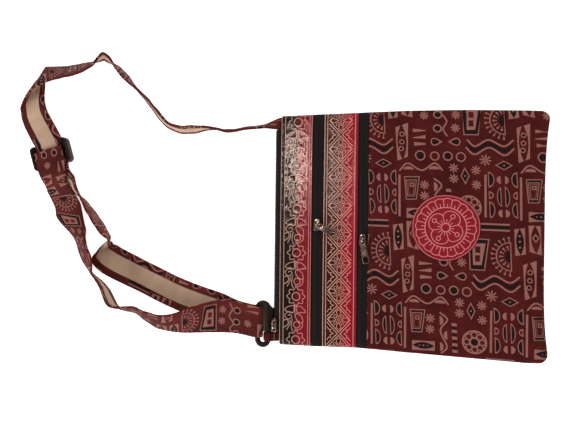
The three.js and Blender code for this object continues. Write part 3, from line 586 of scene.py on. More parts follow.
    # Lozenges.
    for u, v, half_u, half_v in ((19.3, 76.7, 8.9, 4.9), (101.2, 88.3, 4.4, 9.2)):
        corners = [(u - half_u, v), (u, v - half_v), (u + half_u, v), (u, v + half_v)]
        put(LIGHT_INK, corners)
        put(DARK_INK, inset(corners, 1.0))
        put(LIGHT_INK, disc(u, v, 0.9, count=8))

    # Hills.
    ridge = [(35.5, 84.2), (44.3, 76.4), (58.2, 83.4), (71.4, 75.8), (79.3, 83.2)]
    put(LIGHT_INK, *stroke(smooth_line(ridge, 8), 1.6))
    put(LIGHT_INK, arc(44.7, 82.8, 5.2, 3.2, 180, 360, 12), arc(70.8, 82.2, 5.4, 3.4, 180, 360, 12))

    # Nested boxes.
    outer = [(39.8, 90.2), (55.8, 89.8), (51.8, 114.1), (40.8, 114.5)]
    second = [(41.5, 93.4), (52.8, 93.0), (50.0, 110.9), (42.3, 111.1)]
    put(LIGHT_INK, outer)
    put(DARK_INK, inset(outer, 1.0))
    put(LIGHT_INK, second)
    put(GROUND_INK, inset(second, 0.8))
    put(LIGHT_INK, inset(second, 1.75))
    put(GROUND_INK, inset(second, 2.15))
    put(LIGHT_INK, [(45.1, 96.7), (49.3, 96.7), (49.3, 100.9), (45.1, 100.9)])
    put(GROUND_INK, [(46.1, 97.7), (48.3, 97.7), (48.3, 99.9), (46.1, 99.9)])

    # Snake with half rounds in its bends.
    snake = [(70, 91.6), (77.3, 98.9), (70.1, 110.7), (76.1, 127.3), (70.1, 135)]
    put(LIGHT_INK, *stroke(smooth_line(snake, 8), 1.7))
    for bend in ((69.8, 95.5, 104.8, 73.5), (76.8, 110.8, 120, 73.4), (69.2, 123.2, 132.5, 72.8)):
        put(LIGHT_INK, half_moon(*bend))

    # Checkered column.
    for k in range(9):
        top = 101.9 + 3.5 * k
        narrow = 0.5 if k % 2 else 0.0
        left, right = 81.5 + narrow, 86.6 - narrow
        put(DARK_INK if k % 2 else LIGHT_INK,
            [(left, top), (right, top + 0.4), (right, top + 3.5), (left, top + 3.2)])

    # Round medallion.
    hub = np.array([103.6, 120.5])
    put(LIGHT_INK, disc(*hub, 12.5, count=32))
    put(DARK_INK, disc(*hub, 3.7))
    for k in range(8):
        put(GROUND_INK, disc(*(hub + 7.7 * heading(45 * k)), 2.4, count=12))
        put(DARK_INK, disc(*(hub + 10.2 * heading(45 * k + 22.5)), 0.9, count=8))

    # Panel of moons between two bars.
    put(LIGHT_INK, [(-0.3, 86.6), (1.9, 86.6), (0.1, 130.2), (-2.1, 130.2)])
    put(LIGHT_INK, [(34.2, 88.4), (36.4, 88.4), (34.6, 132.1), (32.4, 132.1)])
    for flat_u, from_v, to_v, bulge_u, filled in (
            (3.2, 83.3, 99.6, 9.3, 1), (3.2, 103.4, 111.2, 8.0, 0), (3.2, 113.8, 130.7, 8.8, 1),
            (31.9, 83.3, 99.4, 25.8, 1), (31.1, 103.3, 111.3, 26.9, 0), (30.6, 114.2, 130.3, 25.1, 1),
            (15.4, 99.2, 119.0, 11.0, 1), (19.0, 98.4, 119.2, 23.8, 1)):
        sign = 1 if bulge_u > flat_u else -1
        put(LIGHT_INK, half_moon(flat_u, from_v, to_v, bulge_u, 15))
        put(DARK_INK if filled else GROUND_INK,
            half_moon(flat_u + 0.85 * sign, from_v + 1.7, to_v - 1.7, bulge_u - 0.9 * sign))
    put(LIGHT_INK, half_moon(15.4, 87.6, 95.6, 11.5), half_moon(19.7, 87.6, 95.6, 23.3))
    put(LIGHT_INK, half_moon(15.5, 121.8, 129.6, 11.5), half_moon(18.8, 121.8, 129.6, 22.9))

    # Long eye, and a double line.
    put(LIGHT_INK, [(41.1, 123.2), (64.2, 122.7), (63.8, 132.9), (40.6, 133.5)])
    put(DARK_INK, lens(127.9, 52.5, 3.6, 11.0)[:, ::-1])
    for u, v, radius in ((48.5, 128, 0.7), (52.5, 127.9, 0.9), (56.5, 127.8, 0.7)):
        put(LIGHT_INK, disc(u, v, radius, count=8))
    put(DARK_INK, [(-6.2, 137.4), (22, 137.4), (22, 142.4), (-6.2, 142.4)])
    put(LIGHT_INK, [(-6.2, 136.0), (22, 136.0), (22, 137.8), (-6.2, 137.8)])
    put(LIGHT_INK, [(-6.2, 142.0), (22, 142.0), (22, 143.8), (-6.2, 143.8)])
    return tile


TILE = print_tile()


def repeat_print(place, low, high, columns, rows):
    """Lays the print's tile over a flat area between two corners. place turns the print's u and v into
    the area's own coordinates."""
    shapes = []
    for i in columns:
        for j in rows:
            for ink, polygon in TILE:
                put = place(polygon[:, 0] + i * REPEAT_U, polygon[:, 1] + j * REPEAT_V)
                if np.all(put.max(axis=0) > low) and np.all(put.min(axis=0) < high):
                    shapes.append((ink, put))
    return shapes


def on_front(u, v):
    """Where the print lies on the front of the bag. The cloth was cut a little askew."""
    start_x, start_y = -48, 150
    x = start_x + u + 0.054 * v
    y = start_y - 0.025 * u - 0.9986 * v
    return np.column_stack([2 * x - drawn_in(x, y), y])


def on_back(u, v):
    """The back is cut from another part of the same cloth."""
    start_x, start_y = -160, 175
    return np.column_stack([start_x + u + 0.01 * v, start_y + 0.012 * u - v])


def turned_left(polygon):
    """The polygon's points, anticlockwise."""
    return polygon if double_area(polygon) > 0 else polygon[::-1]


# Points nearer than this are one point: when cloth is cut, and where a lining meets the face's rim.
CUT_MARGIN = 1e-5
RIM_MARGIN = 0.02


def cut_cloth(outline, shapes, points, lines=()):
    """Cuts a flat outline into triangles along the edge of every shape and along plain lines.
    Gives points, triangles and the ink of each triangle."""
    coords = [np.asarray(outline, float)]
    faces = [list(range(len(outline)))]
    inks = [GROUND_INK]
    count = len(outline)
    for ink, polygon in shapes:
        coords.append(turned_left(polygon))
        faces.append(list(range(count, count + len(polygon))))
        inks.append(ink)
        count += len(polygon)
    edges = []
    for line in lines:
        coords.append(np.asarray(line, float))
        edges += [(count + i, count + i + 1) for i in range(len(line) - 1)]
        count += len(line)
    coords.append(np.asarray(points, float).reshape(-1, 2))
    vectors = [Vector(p) for p in np.vstack(coords).tolist()]
    flat, _, triangles, _, _, owners = delaunay_2d_cdt(vectors, edges, faces, 0, CUT_MARGIN, True)
    kept = [i for i, owner in enumerate(owners) if 0 in owner]
    ink = np.array([inks[max(owners[i])] for i in kept], float)
    triangles = np.array([triangles[i] for i in kept])
    used, triangles = np.unique(triangles, return_inverse=True)
    flat = np.array([flat[i][:] for i in used])
    return flat, triangles.reshape(-1, 3), ink


def rim_loop(triangles):
    """The outer edge of cut cloth, as point numbers in order."""
    edges = np.vstack([triangles[:, [0, 1]], triangles[:, [1, 2]], triangles[:, [2, 0]]])
    known = {(a, b) for a, b in edges.tolist()}
    ahead = {a: b for a, b in known if (b, a) not in known}
    loop = [min(ahead)]
    while ahead[loop[-1]] != loop[0]:
        loop.append(ahead[loop[-1]])
    return loop


def make_piece(name, points, faces, material, sharp=40, ink=None, flat=None):
    """A mesh object in metres from points in millimetres. sharp is the angle of an edge that stays sharp,
    ink is a value for each of the first faces, flat is each point's place on the flat cloth."""
    mesh = bpy.data.meshes.new(name)
    mesh.from_pydata((np.asarray(points) * MM).tolist(), [], faces)
    mesh.materials.append(material)
    if ink is not None:
        values = np.zeros(len(mesh.polygons))
        values[:len(ink)] = ink
        mesh.attributes.new("ink", "FLOAT", "FACE").data.foreach_set("value", values)
    if flat is not None:
        values = np.column_stack([flat, np.zeros(len(flat))]).ravel()
        mesh.attributes.new("flat", "FLOAT_VECTOR", "POINT").data.foreach_set("vector", values)
    mesh.shade_smooth()
    mesh.set_sharp_from_angle(angle=math.radians(sharp))
    piece = bpy.data.objects.new(name, mesh)
    bpy.context.scene.collection.objects.link(piece)
    return piece


def inner_grid(low, high, step, test):
    """Points in staggered rows between two corners, where a test of x and y allows them."""
    x, y = np.meshgrid(np.arange(low[0], high[0], step), np.arange(low[1], high[1], step))
    x = x + (np.arange(len(x)) % 2)[:, None] * step / 2
    points = np.column_stack([x.ravel(), y.ravel()])
    return points[test(points[:, 0], points[:, 1])]


def sheet_piece(name, cut, top, under, material, step=9.0, upward=True, sharp=40):
    """A closed sheet: the cut cloth as its face, a plainer lining under it, and a rim round both."""
    flat, triangles, ink = cut
    high = top(flat[:, 0], flat[:, 1])
    loop = rim_loop(triangles)
    edge = flat[loop]
    grid = inner_grid(edge.min(axis=0) + 1, edge.max(axis=0) - 1, step, lambda x, y: np.full(len(x), True))
    vectors = [Vector(p) for p in np.vstack([edge, grid]).tolist()]
    whole = [list(range(len(edge)))]
    found, _, backs, origin, _, owners = delaunay_2d_cdt(vectors, [], whole, 0, CUT_MARGIN, True)
    low_flat = np.array([p[:] for p in found])
    low = under(low_flat[:, 0], low_flat[:, 1])
    points = [high]
    flats = [flat]
    number = np.zeros(len(low_flat), int)
    rim = np.zeros(len(loop), int)
    count = len(flat)
    for k, sources in enumerate(origin):
        on_rim = [s for s in sources if s < len(loop)]
        number[k] = count
        if on_rim and np.linalg.norm(low[k] - high[loop[on_rim[0]]]) < RIM_MARGIN:
            number[k] = loop[on_rim[0]]
        else:
            points.append(low[k:k + 1])
            flats.append(low_flat[k:k + 1])
            count += 1
        for s in on_rim:
            rim[s] = number[k]
    faces = triangles.tolist()
    for i, a in enumerate(loop):
        j = (i + 1) % len(loop)
        corners = list(dict.fromkeys([loop[j], a, int(rim[i]), int(rim[j])]))
        if len(corners) > 2:
            faces.append(corners)
    faces += [[int(number[c]) for c in reversed(back)] for back, owner in zip(backs, owners) if 0 in owner]
    if not upward:
        faces = [face[::-1] for face in faces]
    return make_piece(name, np.vstack(points), faces, material, sharp, ink, np.vstack(flats))


# Ways in from a sewn edge at which a sheet has points, closest where the edge is roundest.
EDGE_STEPS = (0.15, 0.5, 1.1, 2.0, 3.2, 4.8, 7.0)


def side_points(x_from, x_to, step):
    """Points on the two sewn sides."""
    x = np.linspace(x_from, x_to, max(2, round((x_to - x_from) / step) + 1))
    low = np.column_stack([x, low_side(x)])
    high = np.column_stack([x[::-1], high_side(x[::-1])])
    return low, high


def band_outline(x_from, x_to, step=2.5):
    """Outline of a strip across the front, anticlockwise, and points near its sewn ends."""
    low, high = side_points(x_from, x_to, step)
    count = round((high[0, 1] - low[0, 1]) / 3)
    right_y = np.linspace(low[-1, 1], high[0, 1], count + 1)[1:-1]
    right = np.column_stack([np.full(count - 1, x_to), right_y])
    left_y = np.linspace(high[-1, 1], low[0, 1], count + 1)[1:-1]
    left = np.column_stack([np.full(count - 1, x_from), left_y])
    near = np.vstack([low + [0, d] for d in EDGE_STEPS] + [high - [0, d] for d in EDGE_STEPS])
    inside = (near[:, 0] > x_from + 0.3) & (near[:, 0] < x_to - 0.3)
    return np.vstack([low, right, high, left]), near[inside]


def panel_outline(x_from, step=2.0):
    """Outline of a panel that runs down to the rounded bottom corners, and points near its sewn edge."""
    low, high = side_points(x_from, BOTTOM_X - CORNER, step)
    angle = np.radians(np.linspace(0, 90, 9))[1:-1]
    round_x = BOTTOM_X - CORNER + CORNER * np.sin(angle)
    corner_low = np.column_stack([round_x, low_side(round_x) + CORNER * (1 - np.cos(angle))])
    corner_high = np.column_stack([round_x, high_side(round_x) - CORNER * (1 - np.cos(angle))])[::-1]
    bottom_y = np.linspace(low_side(BOTTOM_X) + CORNER, high_side(BOTTOM_X) - CORNER, 117)
    bottom = np.column_stack([np.full(len(bottom_y), BOTTOM_X), bottom_y])
    left_y = np.linspace(high[-1, 1], low[0, 1], 87)[1:-1]
    left = np.column_stack([np.full(len(left_y), x_from), left_y])
    out = np.column_stack([np.sin(angle), -np.cos(angle)])
    near = []
    for d in EDGE_STEPS:
        near += [low[1:] + [0, d], corner_low - d * out, bottom - [d, 0]]
        near += [corner_high - d * (out * [1, -1])[::-1], high[:-1] - [0, d]]
    return np.vstack([low, corner_low, bottom, corner_high, high, left]), np.vstack(near)


def on_top(lift, extra=None):
    """Gives the outer surface of a front piece, with its own lift by x."""
    def place(x, y):
        keep = edge_rise(edge_distance(x, y))
        z = front_height(x, y) + np.interp(x, lift[:, 0], lift[:, 1]) * keep
        if extra is not None:
            z = z + extra(x, y) * keep
        return np.column_stack([drawn_in(x, y), y, z])
    return place


def on_under(lift, wall):
    """Gives the inner surface of a front piece."""
    def place(x, y):
        keep = edge_rise(edge_distance(x, y))
        z = front_height(x, y) + np.minimum(np.interp(x, lift[:, 0], lift[:, 1]), 0) * keep - wall
        return np.column_stack([drawn_in(x, y), y, np.maximum(z, SEAM_Z)])
    return place


def finish_piece(piece, body, slot, *nodes):
    """The piece rides on a body and stands for CAD nodes, which it hides. slot is not used."""
    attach(piece, body)
    if nodes:
        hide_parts(*nodes)


def cotton_front():
    """The printed front pocket, with a turned and stitched edge along the lower zip."""
    outline, near = panel_outline(FRONT_X + HALF_GAP)
    grid = inner_grid((FRONT_X + 1, -125), (BOTTOM_X, 130), 4.5, lambda x, y: edge_distance(x, y) > 8)
    fold_x = (-39.2, -38, -36.6, -36, -35.4, -33)
    fold = np.array([(x, y) for x in fold_x for y in np.arange(-116, 119, 3.0)])
    shapes = repeat_print(on_front, (FRONT_X, -132), (BOTTOM_X + 1, 130), range(-1, 3), range(-1, 3))
    cut = cut_cloth(outline, shapes, np.vstack([near, grid, fold]))
    top = on_top(FRONT_LIFT, lambda x, y: pucker(x, y) + slack(x, y))
    piece = sheet_piece("front_cotton", cut, top, on_under(FRONT_LIFT, CLOTH), COTTON)
    finish_piece(piece, "bag", "printed_cotton", "front_panel")


def cotton_back():
    """The printed back, which the bag lies on."""
    outline, near = panel_outline(MOUTH_X)
    grid = inner_grid((MOUTH_X + 1, -125), (BOTTOM_X, 130), 6.0, lambda x, y: edge_distance(x, y) > 8)
    shapes = repeat_print(on_back, (MOUTH_X - 1, -132), (BOTTOM_X + 1, 130), range(-1, 4), range(-1, 4))
    cut = cut_cloth(outline, shapes, np.vstack([near, grid]))

    def outer(x, y):
        rise = BACK_SEAM_Z * (1 - edge_rise(edge_distance(x, y)))
        return np.column_stack([drawn_in(x, y), y, rise])

    def inner(x, y):
        z = np.minimum(BACK_SEAM_Z * (1 - edge_rise(edge_distance(x, y))) + CLOTH, BACK_SEAM_Z)
        return np.column_stack([drawn_in(x, y), y, z])

    piece = sheet_piece("back_cotton", cut, outer, inner, COTTON, upward=False)
    finish_piece(piece, "bag", "printed_cotton", "back_panel")


# Height and half width of an embossed ridge, and the spacing of points along it.
RIDGE_HEIGHT = 0.2
RIDGE_HALF = 0.85
RIDGE_STEP = 0.8


def ridge_tree(drawing, step=0.5):
    """A search tree of points along drawn lines, for raising embossed ridges."""
    points = []
    for line, _ in drawing:
        for a, b in zip(line[:-1], line[1:]):
            count = max(1, math.ceil(np.linalg.norm(b - a) / step))
            points += [a + (b - a) * t / count for t in range(count)]
        points.append(line[-1])
    tree = KDTree(len(points))
    for i, p in enumerate(points):
        tree.insert((p[0], p[1], 0), i)
    tree.balance()
    return tree, np.array(points)


def embossed_cut(outline, near, drawing, grid):
    """Cuts leather along its embossed lines. Gives the cut and a function for the ridge height."""
    shapes = []
    for line, width in drawing:
        shapes += [(LIGHT_INK, quad) for quad in stroke(line, width)]
    tree, middles = ridge_tree(drawing)
    coarse = np.unique(np.round(middles / RIDGE_STEP).astype(int), axis=0)
    cut = cut_cloth(outline, shapes, np.vstack([near, grid, coarse * RIDGE_STEP]))

    def ridge(x, y):
        away = np.array([tree.find((a, b, 0))[2] for a, b in zip(x, y)])
        return RIDGE_HEIGHT * np.clip(1 - (away / RIDGE_HALF) ** 2, 0, 1)

    return cut, ridge


def upper_band_lines():
    """Vine with scalloped flowers between border lines, as pairs of a line and its width."""
    drawing = []
    left, first, spacing, ring_x = -134.8, 118.3, 47.4, 18.6

    def draw(line, width=0.78):
        drawing.append((np.asarray(line, float), width))

    for x, width in ((-134.2, 0.7), (-130.2, 0.75), (-103.2, 0.75), (-100.9, 0.7)):
        draw([(x, y) for y in np.arange(-132, 133, 4.0)], width)
    for k in range(-1, 7):
        flower = first - spacing * k

        def at(points):
            return np.array([(left + a, flower - b) for a, b in points])

        def draw_leaf(points):
            draw(closed_line(smooth_line(at(points + points[:1]), 4)[:-1]))

        def draw_stem(points):
            draw(smooth_line(at(points), 5))

        # Scalloped flower with its ring.
        petal = []
        for n in range(8):
            for share, radius in ((0, 10.2), (0.25, 9.0), (0.5, 7.2), (0.75, 9.0)):
                angle = math.radians(45 * (n + share) + 90)
                petal.append((ring_x + radius * math.cos(angle), -radius * math.sin(angle)))
        draw(closed_line(at(petal)))
        draw(closed_line(at(disc(ring_x, 0, 4.4, count=18))), 0.95)
        # Two leaves and a scroll between them and the next leaf.
        draw_leaf([(16.6, 9.7), (10.2, 11.5), (6.3, 15.2), (10.8, 17), (16.3, 17)])
        draw_leaf([(19.2, 10.5), (24.6, 11.3), (29.2, 16.4), (24.6, 17.4), (20, 17.4)])
        draw_stem([(15.5, 18.4), (10.5, 17.4), (6.3, 21), (9.5, 25.2), (14, 23), (12.5, 19.9), (9.6, 21.4)])
        # A long leaf, a berry with its curl, a bud and the stems.
        draw_leaf([(19, 18.4), (25, 21.5), (26, 28.6), (20.5, 26.5), (17.6, 21)])
        draw(closed_line(at(disc(19.6, 31, 3.5, count=14))))
        draw_stem([(26, 28.6), (25.4, 33.5), (21, 36.6), (17, 35.4)])
        draw_leaf([(4.6, 26.5), (9.4, 25.9), (10, 30.5), (5, 34)])
        draw_stem([(12.2, 26), (11.7, 30.8), (8.6, 36.8)])
        draw_stem([(14.8, 24.5), (13.6, 33), (15.5, 38.6)])
        draw(at([(17.8, 9.4), (17.4, 18)]))
    return drawing


def lower_band_lines():
    """Lattice of double lines with a petal rosette in each lozenge and a leaf in each side triangle,
    as pairs of a line and its width."""
    drawing = []
    middle, half_x, half_y, first, spacing = -69.7, 13.6, 15.25, 119.1, 30.5
    # A leaf with three points: way in from the border, and way along it.
    leaf = [(1.3, 7.4), (3.4, 4.2), (5.6, 4.4), (4.7, 1.9), (8.4, 0),
            (4.7, -1.9), (5.6, -4.4), (3.4, -4.2), (1.3, -7.4)]

    def draw(line, width):
        drawing.append((np.asarray(line, float), width))

    def draw_petal(centre, degrees, tip, tail, half, count, width):
        out = heading(degrees)
        draw(closed_line(teardrop(centre + tip * out, centre + tail * out, half, count)), width)

    for x, width in ((-86.9, 0.75), (-83.9, 0.75), (-54.2, 0.8)):
        draw([(x, y) for y in np.arange(-132, 133, 4.0)], width)
    for k in range(-1, 10):
        y = first - spacing * k
        lozenge = [(middle - half_x, y), (middle, y - half_y), (middle + half_x, y), (middle, y + half_y)]
        draw(closed_line(inset(lozenge, 1.1)), 0.8)
        # Rosette of four long petals with a short one between each two.
        centre = np.array([middle, y])
        for n in range(4):
            draw_petal(centre, 90 * n, 2.5, 10.4 if n % 2 else 10.6, 2.4, 14, 0.58)
            draw_petal(centre, 90 * n + 45, 2.7, 7.0, 1.5, 10, 0.45)
        draw(closed_line(disc(middle, y, 1.2, count=10)), 0.4)
        # Side triangles with their leaves.
        low = y - half_y
        for side in (-1, 1):
            outer = middle + side * (half_x + 0.3)
            draw(inset([(outer, low - half_y), (middle, low), (outer, low + half_y)][::side], 1.15), 0.8)
            draw([(outer - side * a, low + b) for a, b in leaf], 0.65)
    return drawing


def leather_band(name, lift, drawing, material, node):
    """An embossed band across the front."""
    x_from, x_to = lift[0, 0] + HALF_GAP, lift[-1, 0] - HALF_GAP
    outline, near = band_outline(x_from, x_to)
    grid = inner_grid((x_from + 1.5, -124), (x_to - 1, 127), 4.0, lambda x, y: edge_distance(x, y) > 7.5)
    folds = np.array([(x, y) for x in lift[1:-1, 0] for y in np.arange(-117, 120, 3.0)])
    cut, ridge = embossed_cut(outline, near, drawing, np.vstack([grid, folds]))
    top = on_top(lift, lambda x, y: ridge(x, y) + 0.5 * pucker(x, y))
    piece = sheet_piece(name, cut, top, on_under(lift, BAND_WALL), material, sharp=50)
    finish_piece(piece, "bag", "embossed_leather", node)


def zip_strip(name, lift, node):
    """A zip tape across the front."""
    x_from, x_to = lift[0, 0] + HALF_GAP, lift[-1, 0] - HALF_GAP
    outline, near = band_outline(x_from, x_to)
    ribs = np.array([(x, y) for x in lift[1:-1, 0] for y in np.arange(-118, 121, 2.5)])
    cut = cut_cloth(outline, [], np.vstack([near, ribs]))
    piece = sheet_piece(name, cut, on_top(lift), on_under(lift, TAPE_WALL), TAPE, sharp=50)
    finish_piece(piece, "bag", "zip_tape", node)


def mouth_arc(y, share, shrink):
    """A point of the mouth tape: share goes from the upper band, 0, round the front to the back, 1."""
    half = (front_height(np.full_like(y, MOUTH_X), y) - MOUTH_ZIP["drop"]) / 2
    angle = math.pi / 2 - math.pi * share
    x = MOUTH_X - 2 * HALF_GAP - (MOUTH_ZIP["reach"] - shrink) * np.cos(angle)
    return np.column_stack([x, y, half + MOUTH_ZIP["lift"] + (half - shrink) * np.sin(angle)])


def grid_shell(outer, inner):
    """A closed wall from two matching grids of points."""
    rows, columns = outer.shape[:2]
    points = np.vstack([outer.reshape(-1, 3), inner.reshape(-1, 3)])

    def at(side, i, j):
        return side * rows * columns + i * columns + j

    faces = []
    for i in range(rows - 1):
        for j in range(columns - 1):
            faces.append([at(0, i, j), at(0, i + 1, j), at(0, i + 1, j + 1), at(0, i, j + 1)])
            faces.append([at(1, i, j), at(1, i, j + 1), at(1, i + 1, j + 1), at(1, i + 1, j)])
    for i in range(rows - 1):
        end = columns - 1
        faces.append([at(0, i, 0), at(1, i, 0), at(1, i + 1, 0), at(0, i + 1, 0)])
        faces.append([at(0, i, end), at(0, i + 1, end), at(1, i + 1, end), at(1, i, end)])
    for j in range(columns - 1):
        end = rows - 1
        faces.append([at(0, 0, j), at(0, 0, j + 1), at(1, 0, j + 1), at(1, 0, j)])
        faces.append([at(0, end, j), at(1, end, j), at(1, end, j + 1), at(0, end, j + 1)])
    # The faces are turned round if they point inward.
    volume = 0
    for face in faces:
        p = points[face]
        for k in range(1, len(face) - 1):
            volume += np.dot(p[0], np.cross(p[k], p[k + 1]))
    if volume < 0:
        faces = [face[::-1] for face in faces]
    return points, faces


def tube_faces(base, rows, sides):
    """Faces of a closed tube whose points come in rows, from point number base on."""
    faces = []
    for r in range(rows - 1):
        for k in range(sides):
            n = (k + 1) % sides
            low, high = base + sides * r, base + sides * (r + 1)
            faces.append([low + k, low + n, high + n, high + k])
    faces.append([base + k for k in reversed(range(sides))])
    faces.append([base + sides * (rows - 1) + k for k in range(sides)])
    return faces


def mouth_zip():
    """Tape round the mouth with a coil of teeth along its middle."""
    y = np.linspace(MOUTH_ZIP["low"], MOUTH_ZIP["high"], 60)
    shares = np.linspace(0, 1, 19)
    # The tape's two halves part along the middle of its outer side.
    parting = 0.25 * np.exp(-((shares - 0.5) / 0.05) ** 2)
    outer = np.stack([mouth_arc(y, np.full_like(y, t), sunk) for t, sunk in zip(shares, parting)], axis=1)
    inner = np.stack([mouth_arc(y, np.full_like(y, t), MOUTH_ZIP["wall"]) for t in shares], axis=1)
    points, faces = grid_shell(outer, inner)
    along = np.repeat(y, len(shares))
    round_it = np.tile(shares * 20, len(y))
    flat = np.column_stack([round_it, along])
    tape = make_piece("mouth_zip_tape", points, faces, TAPE, 50, flat=np.vstack([flat, flat]))
    finish_piece(tape, "bag", "zip_tape", "zip_tape_mouth")
    # Teeth: one rounded bar across the tape every 2 mm.
    verts = []
    quads = []
    for y0 in np.arange(MOUTH_ZIP["low"] + 2, MOUTH_ZIP["high"] - 1.5, 2.0):
        base = len(verts)
        for share, grow in ((0.36, -0.1), (0.40, 0.5), (0.5, 0.75), (0.60, 0.5), (0.64, -0.1)):
            for side, drop in ((-0.62, 0.25), (-0.35, 0.0), (0.35, 0.0), (0.62, 0.25)):
                verts.append(mouth_arc(np.array([y0 + side]), np.array([share]), drop - grow)[0])
            for side in (0.62, -0.62):
                verts.append(mouth_arc(np.array([y0 + side]), np.array([share]), 0.35)[0])
        quads += tube_faces(base, 5, 6)
    teeth = make_piece("mouth_zip_teeth", verts, quads, COIL, 50)
    finish_piece(teeth, "bag", "zip_tape")


def patch_lines():
    """Round flower figure: rim line, ring of petals, and a flower of four lobes with stamens,
    as pairs of a line and its width. Points are given as a share of the radius and an angle."""
    radius = PATCH["radius"]
    centre = np.array([PATCH["x"], PATCH["y"]])
    drawing = []

    def polar(points):
        points = np.asarray(points, float)
        angle = np.radians(points[:, 1])
        return centre + radius * points[:, :1] * np.column_stack([np.cos(angle), np.sin(angle)])

    def draw(points, width):
        drawing.append((polar(points), width))

    turns = np.arange(0, 361, 6.0)
    draw([(0.962 + 0.012 * math.sin(math.radians(3 * t + 40)), t) for t in turns], 0.65)
    draw([(0.60, t) for t in turns], 0.9)
    for k in range(20):
        turn = 18 * k + 5
        draw([(0.60, turn), (0.74, turn), (0.84, turn)], 0.8)
        draw([(0.84 + 0.035 * math.sin(math.pi * t), turn + 18 * t) for t in np.linspace(0, 1, 7)], 0.8)
        draw([(0.61, turn + 9), (0.71, turn + 9)], 0.8)
    for lobe in (58, 148, 238, 328):
        shape = ((0.35, -45), (0.44, -36), (0.51, -16), (0.52, 0), (0.51, 16), (0.44, 36), (0.35, 45))
        draw(smooth_line([(share, lobe + step) for share, step in shape], 3), 0.8)
        draw([(0.35, lobe + 45), (0.24, lobe + 45), (0.14, lobe + 45)], 0.7)
        draw([(0.13, lobe), (0.24, lobe), (0.325, lobe)], 0.7)
        stamen = centre + radius * 0.385 * heading(lobe)
        drawing.append((closed_line(disc(*stamen, 2.1, count=12)), 0.8))
        for step in (-23, 23):
            draw([(0.13, lobe + step), (0.25, lobe + step)], 0.7)
    drawing.append((closed_line(disc(*centre, 4.3, count=18)), 0.9))
    return drawing


def leather_patch():
    """The round patch sewn on the front."""
    radius = PATCH["radius"]
    turns = np.radians(np.arange(0, 360, 3.0))
    # The edge was cut by hand, so it wanders a little.
    reach = radius - 0.45 + 0.35 * np.sin(5 * turns + 0.6) * np.sin(2 * turns)
    out = np.column_stack([np.cos(turns), np.sin(turns)])
    centre = np.array([PATCH["x"], PATCH["y"]])
    outline = centre + reach[:, None] * out
    near = np.vstack([centre + (reach - d)[:, None] * out for d in (0.25, 0.7, 1.4)])

    def from_centre(x, y):
        return np.hypot(x - centre[0], y - centre[1])

    grid = inner_grid(centre - radius, centre + radius, 3.0, lambda x, y: from_centre(x, y) < radius - 2.5)
    cut, ridge = embossed_cut(outline, near, patch_lines(), grid)

    def top(x, y):
        inward = np.maximum(radius - 0.5 - from_centre(x, y), 0)
        rim = 0.55 * np.clip(1 - inward / 1.2, 0, 1) ** 2
        z = front_height(x, y) + PATCH["gap"] + PATCH["thick"] - 0.3 - rim + ridge(x, y)
        return np.column_stack([x, y, z])

    def under(x, y):
        return np.column_stack([x, y, front_height(x, y) + PATCH["gap"]])

    piece = sheet_piece("round_patch_leather", cut, top, under, PATCH_LEATHER, sharp=50)
    finish_piece(piece, "bag", "crimson_leather", "round_patch")


# Strap: full width and half thickness of its section, half the flat face, the hems' inner edge, and how far
# the cloth between the hems lies past the middle of the section.
STRAP_WIDTH = 40.0
STRAP_HALF = 1.3
STRAP_FACE = 18.7
HEM_EDGE = 11.0
RECESS = 0.3
# Slider on the strap: place, turn of its bars, height of a bar, heights of the raised bar, strap width in it.
GLIDE = {
    "x": -415.0, "y": 86.0, "across": 17.0,
    "bar_height": 3.0, "centre_from": 6.2, "centre_to": 9.2, "strap": 36.5,
}
# Loop at the bag's corner: place, distance of its two bars, length, bar thickness, and the strap's shift
# and width in it.
RING = {
    "x": -153.4, "y": -103.5, "z": 6.2,
    "bar_gap": 11.8, "length": 46.0, "bar": 6.0, "shift": 2.2, "strap": 34.0,
}
# Runs of the strap: x, y, z of its middle, turn and lean of the line across it, width.
FIRST_RUN = [
    [-135.3, 118, 5.0, -90, 0, 13], [-142, 116.5, 7, -80, 40, 14.5], [-150, 114.5, 11, -64, 68, 21],
    [-160, 112.5, 15.3, -58, 74, 30], [-172, 111, 19, -54, 75, 37], [-190, 108.5, 19, -48, 75, 37],
    [-212, 112, 19.2, -24, 75, 37], [-231, 111, 19.2, 4, 73, 37], [-248, 111, 19.5, 5, 70, 38],
    [-262, 117, 19.5, -4, 68, 38], [-275, 130.5, 18, -14, 61, 38], [-288, 146, 18, -22, 60, 38],
    [-301, 159.5, 18.5, -30, 60, 38], [-312, 171, 18.5, -44, 61, 38], [-323, 182.5, 18.5, -42, 60, 38],
    [-334.9, 192.5, 18, -13, 57, 38], [-341.3, 196.8, 18.3, -8, 62, 37.5], [-347.7, 193.7, 18, -17, 59, 38],
    [-356, 189.3, 17.2, -36, 53, 38], [-377, 184, 15.5, -44, 46, 37], [-396, 182, 14.3, -47, 42, 37],
    [-411, 181, 13.5, -50, 39, 37], [-421, 178.4, 14.3, -66, 40, 37.5], [-427, 172, 15.2, -87, 44, 37],
    [-432.5, 162, 13.2, -114, 36, 35], [-438, 149.5, 8.4, -154, -2, 36.5], [-435.2, 132, 7.4, -162, -8, 38.5],
    [-425.6, 112.5, 6.2, -163, -2, 37.5],
]
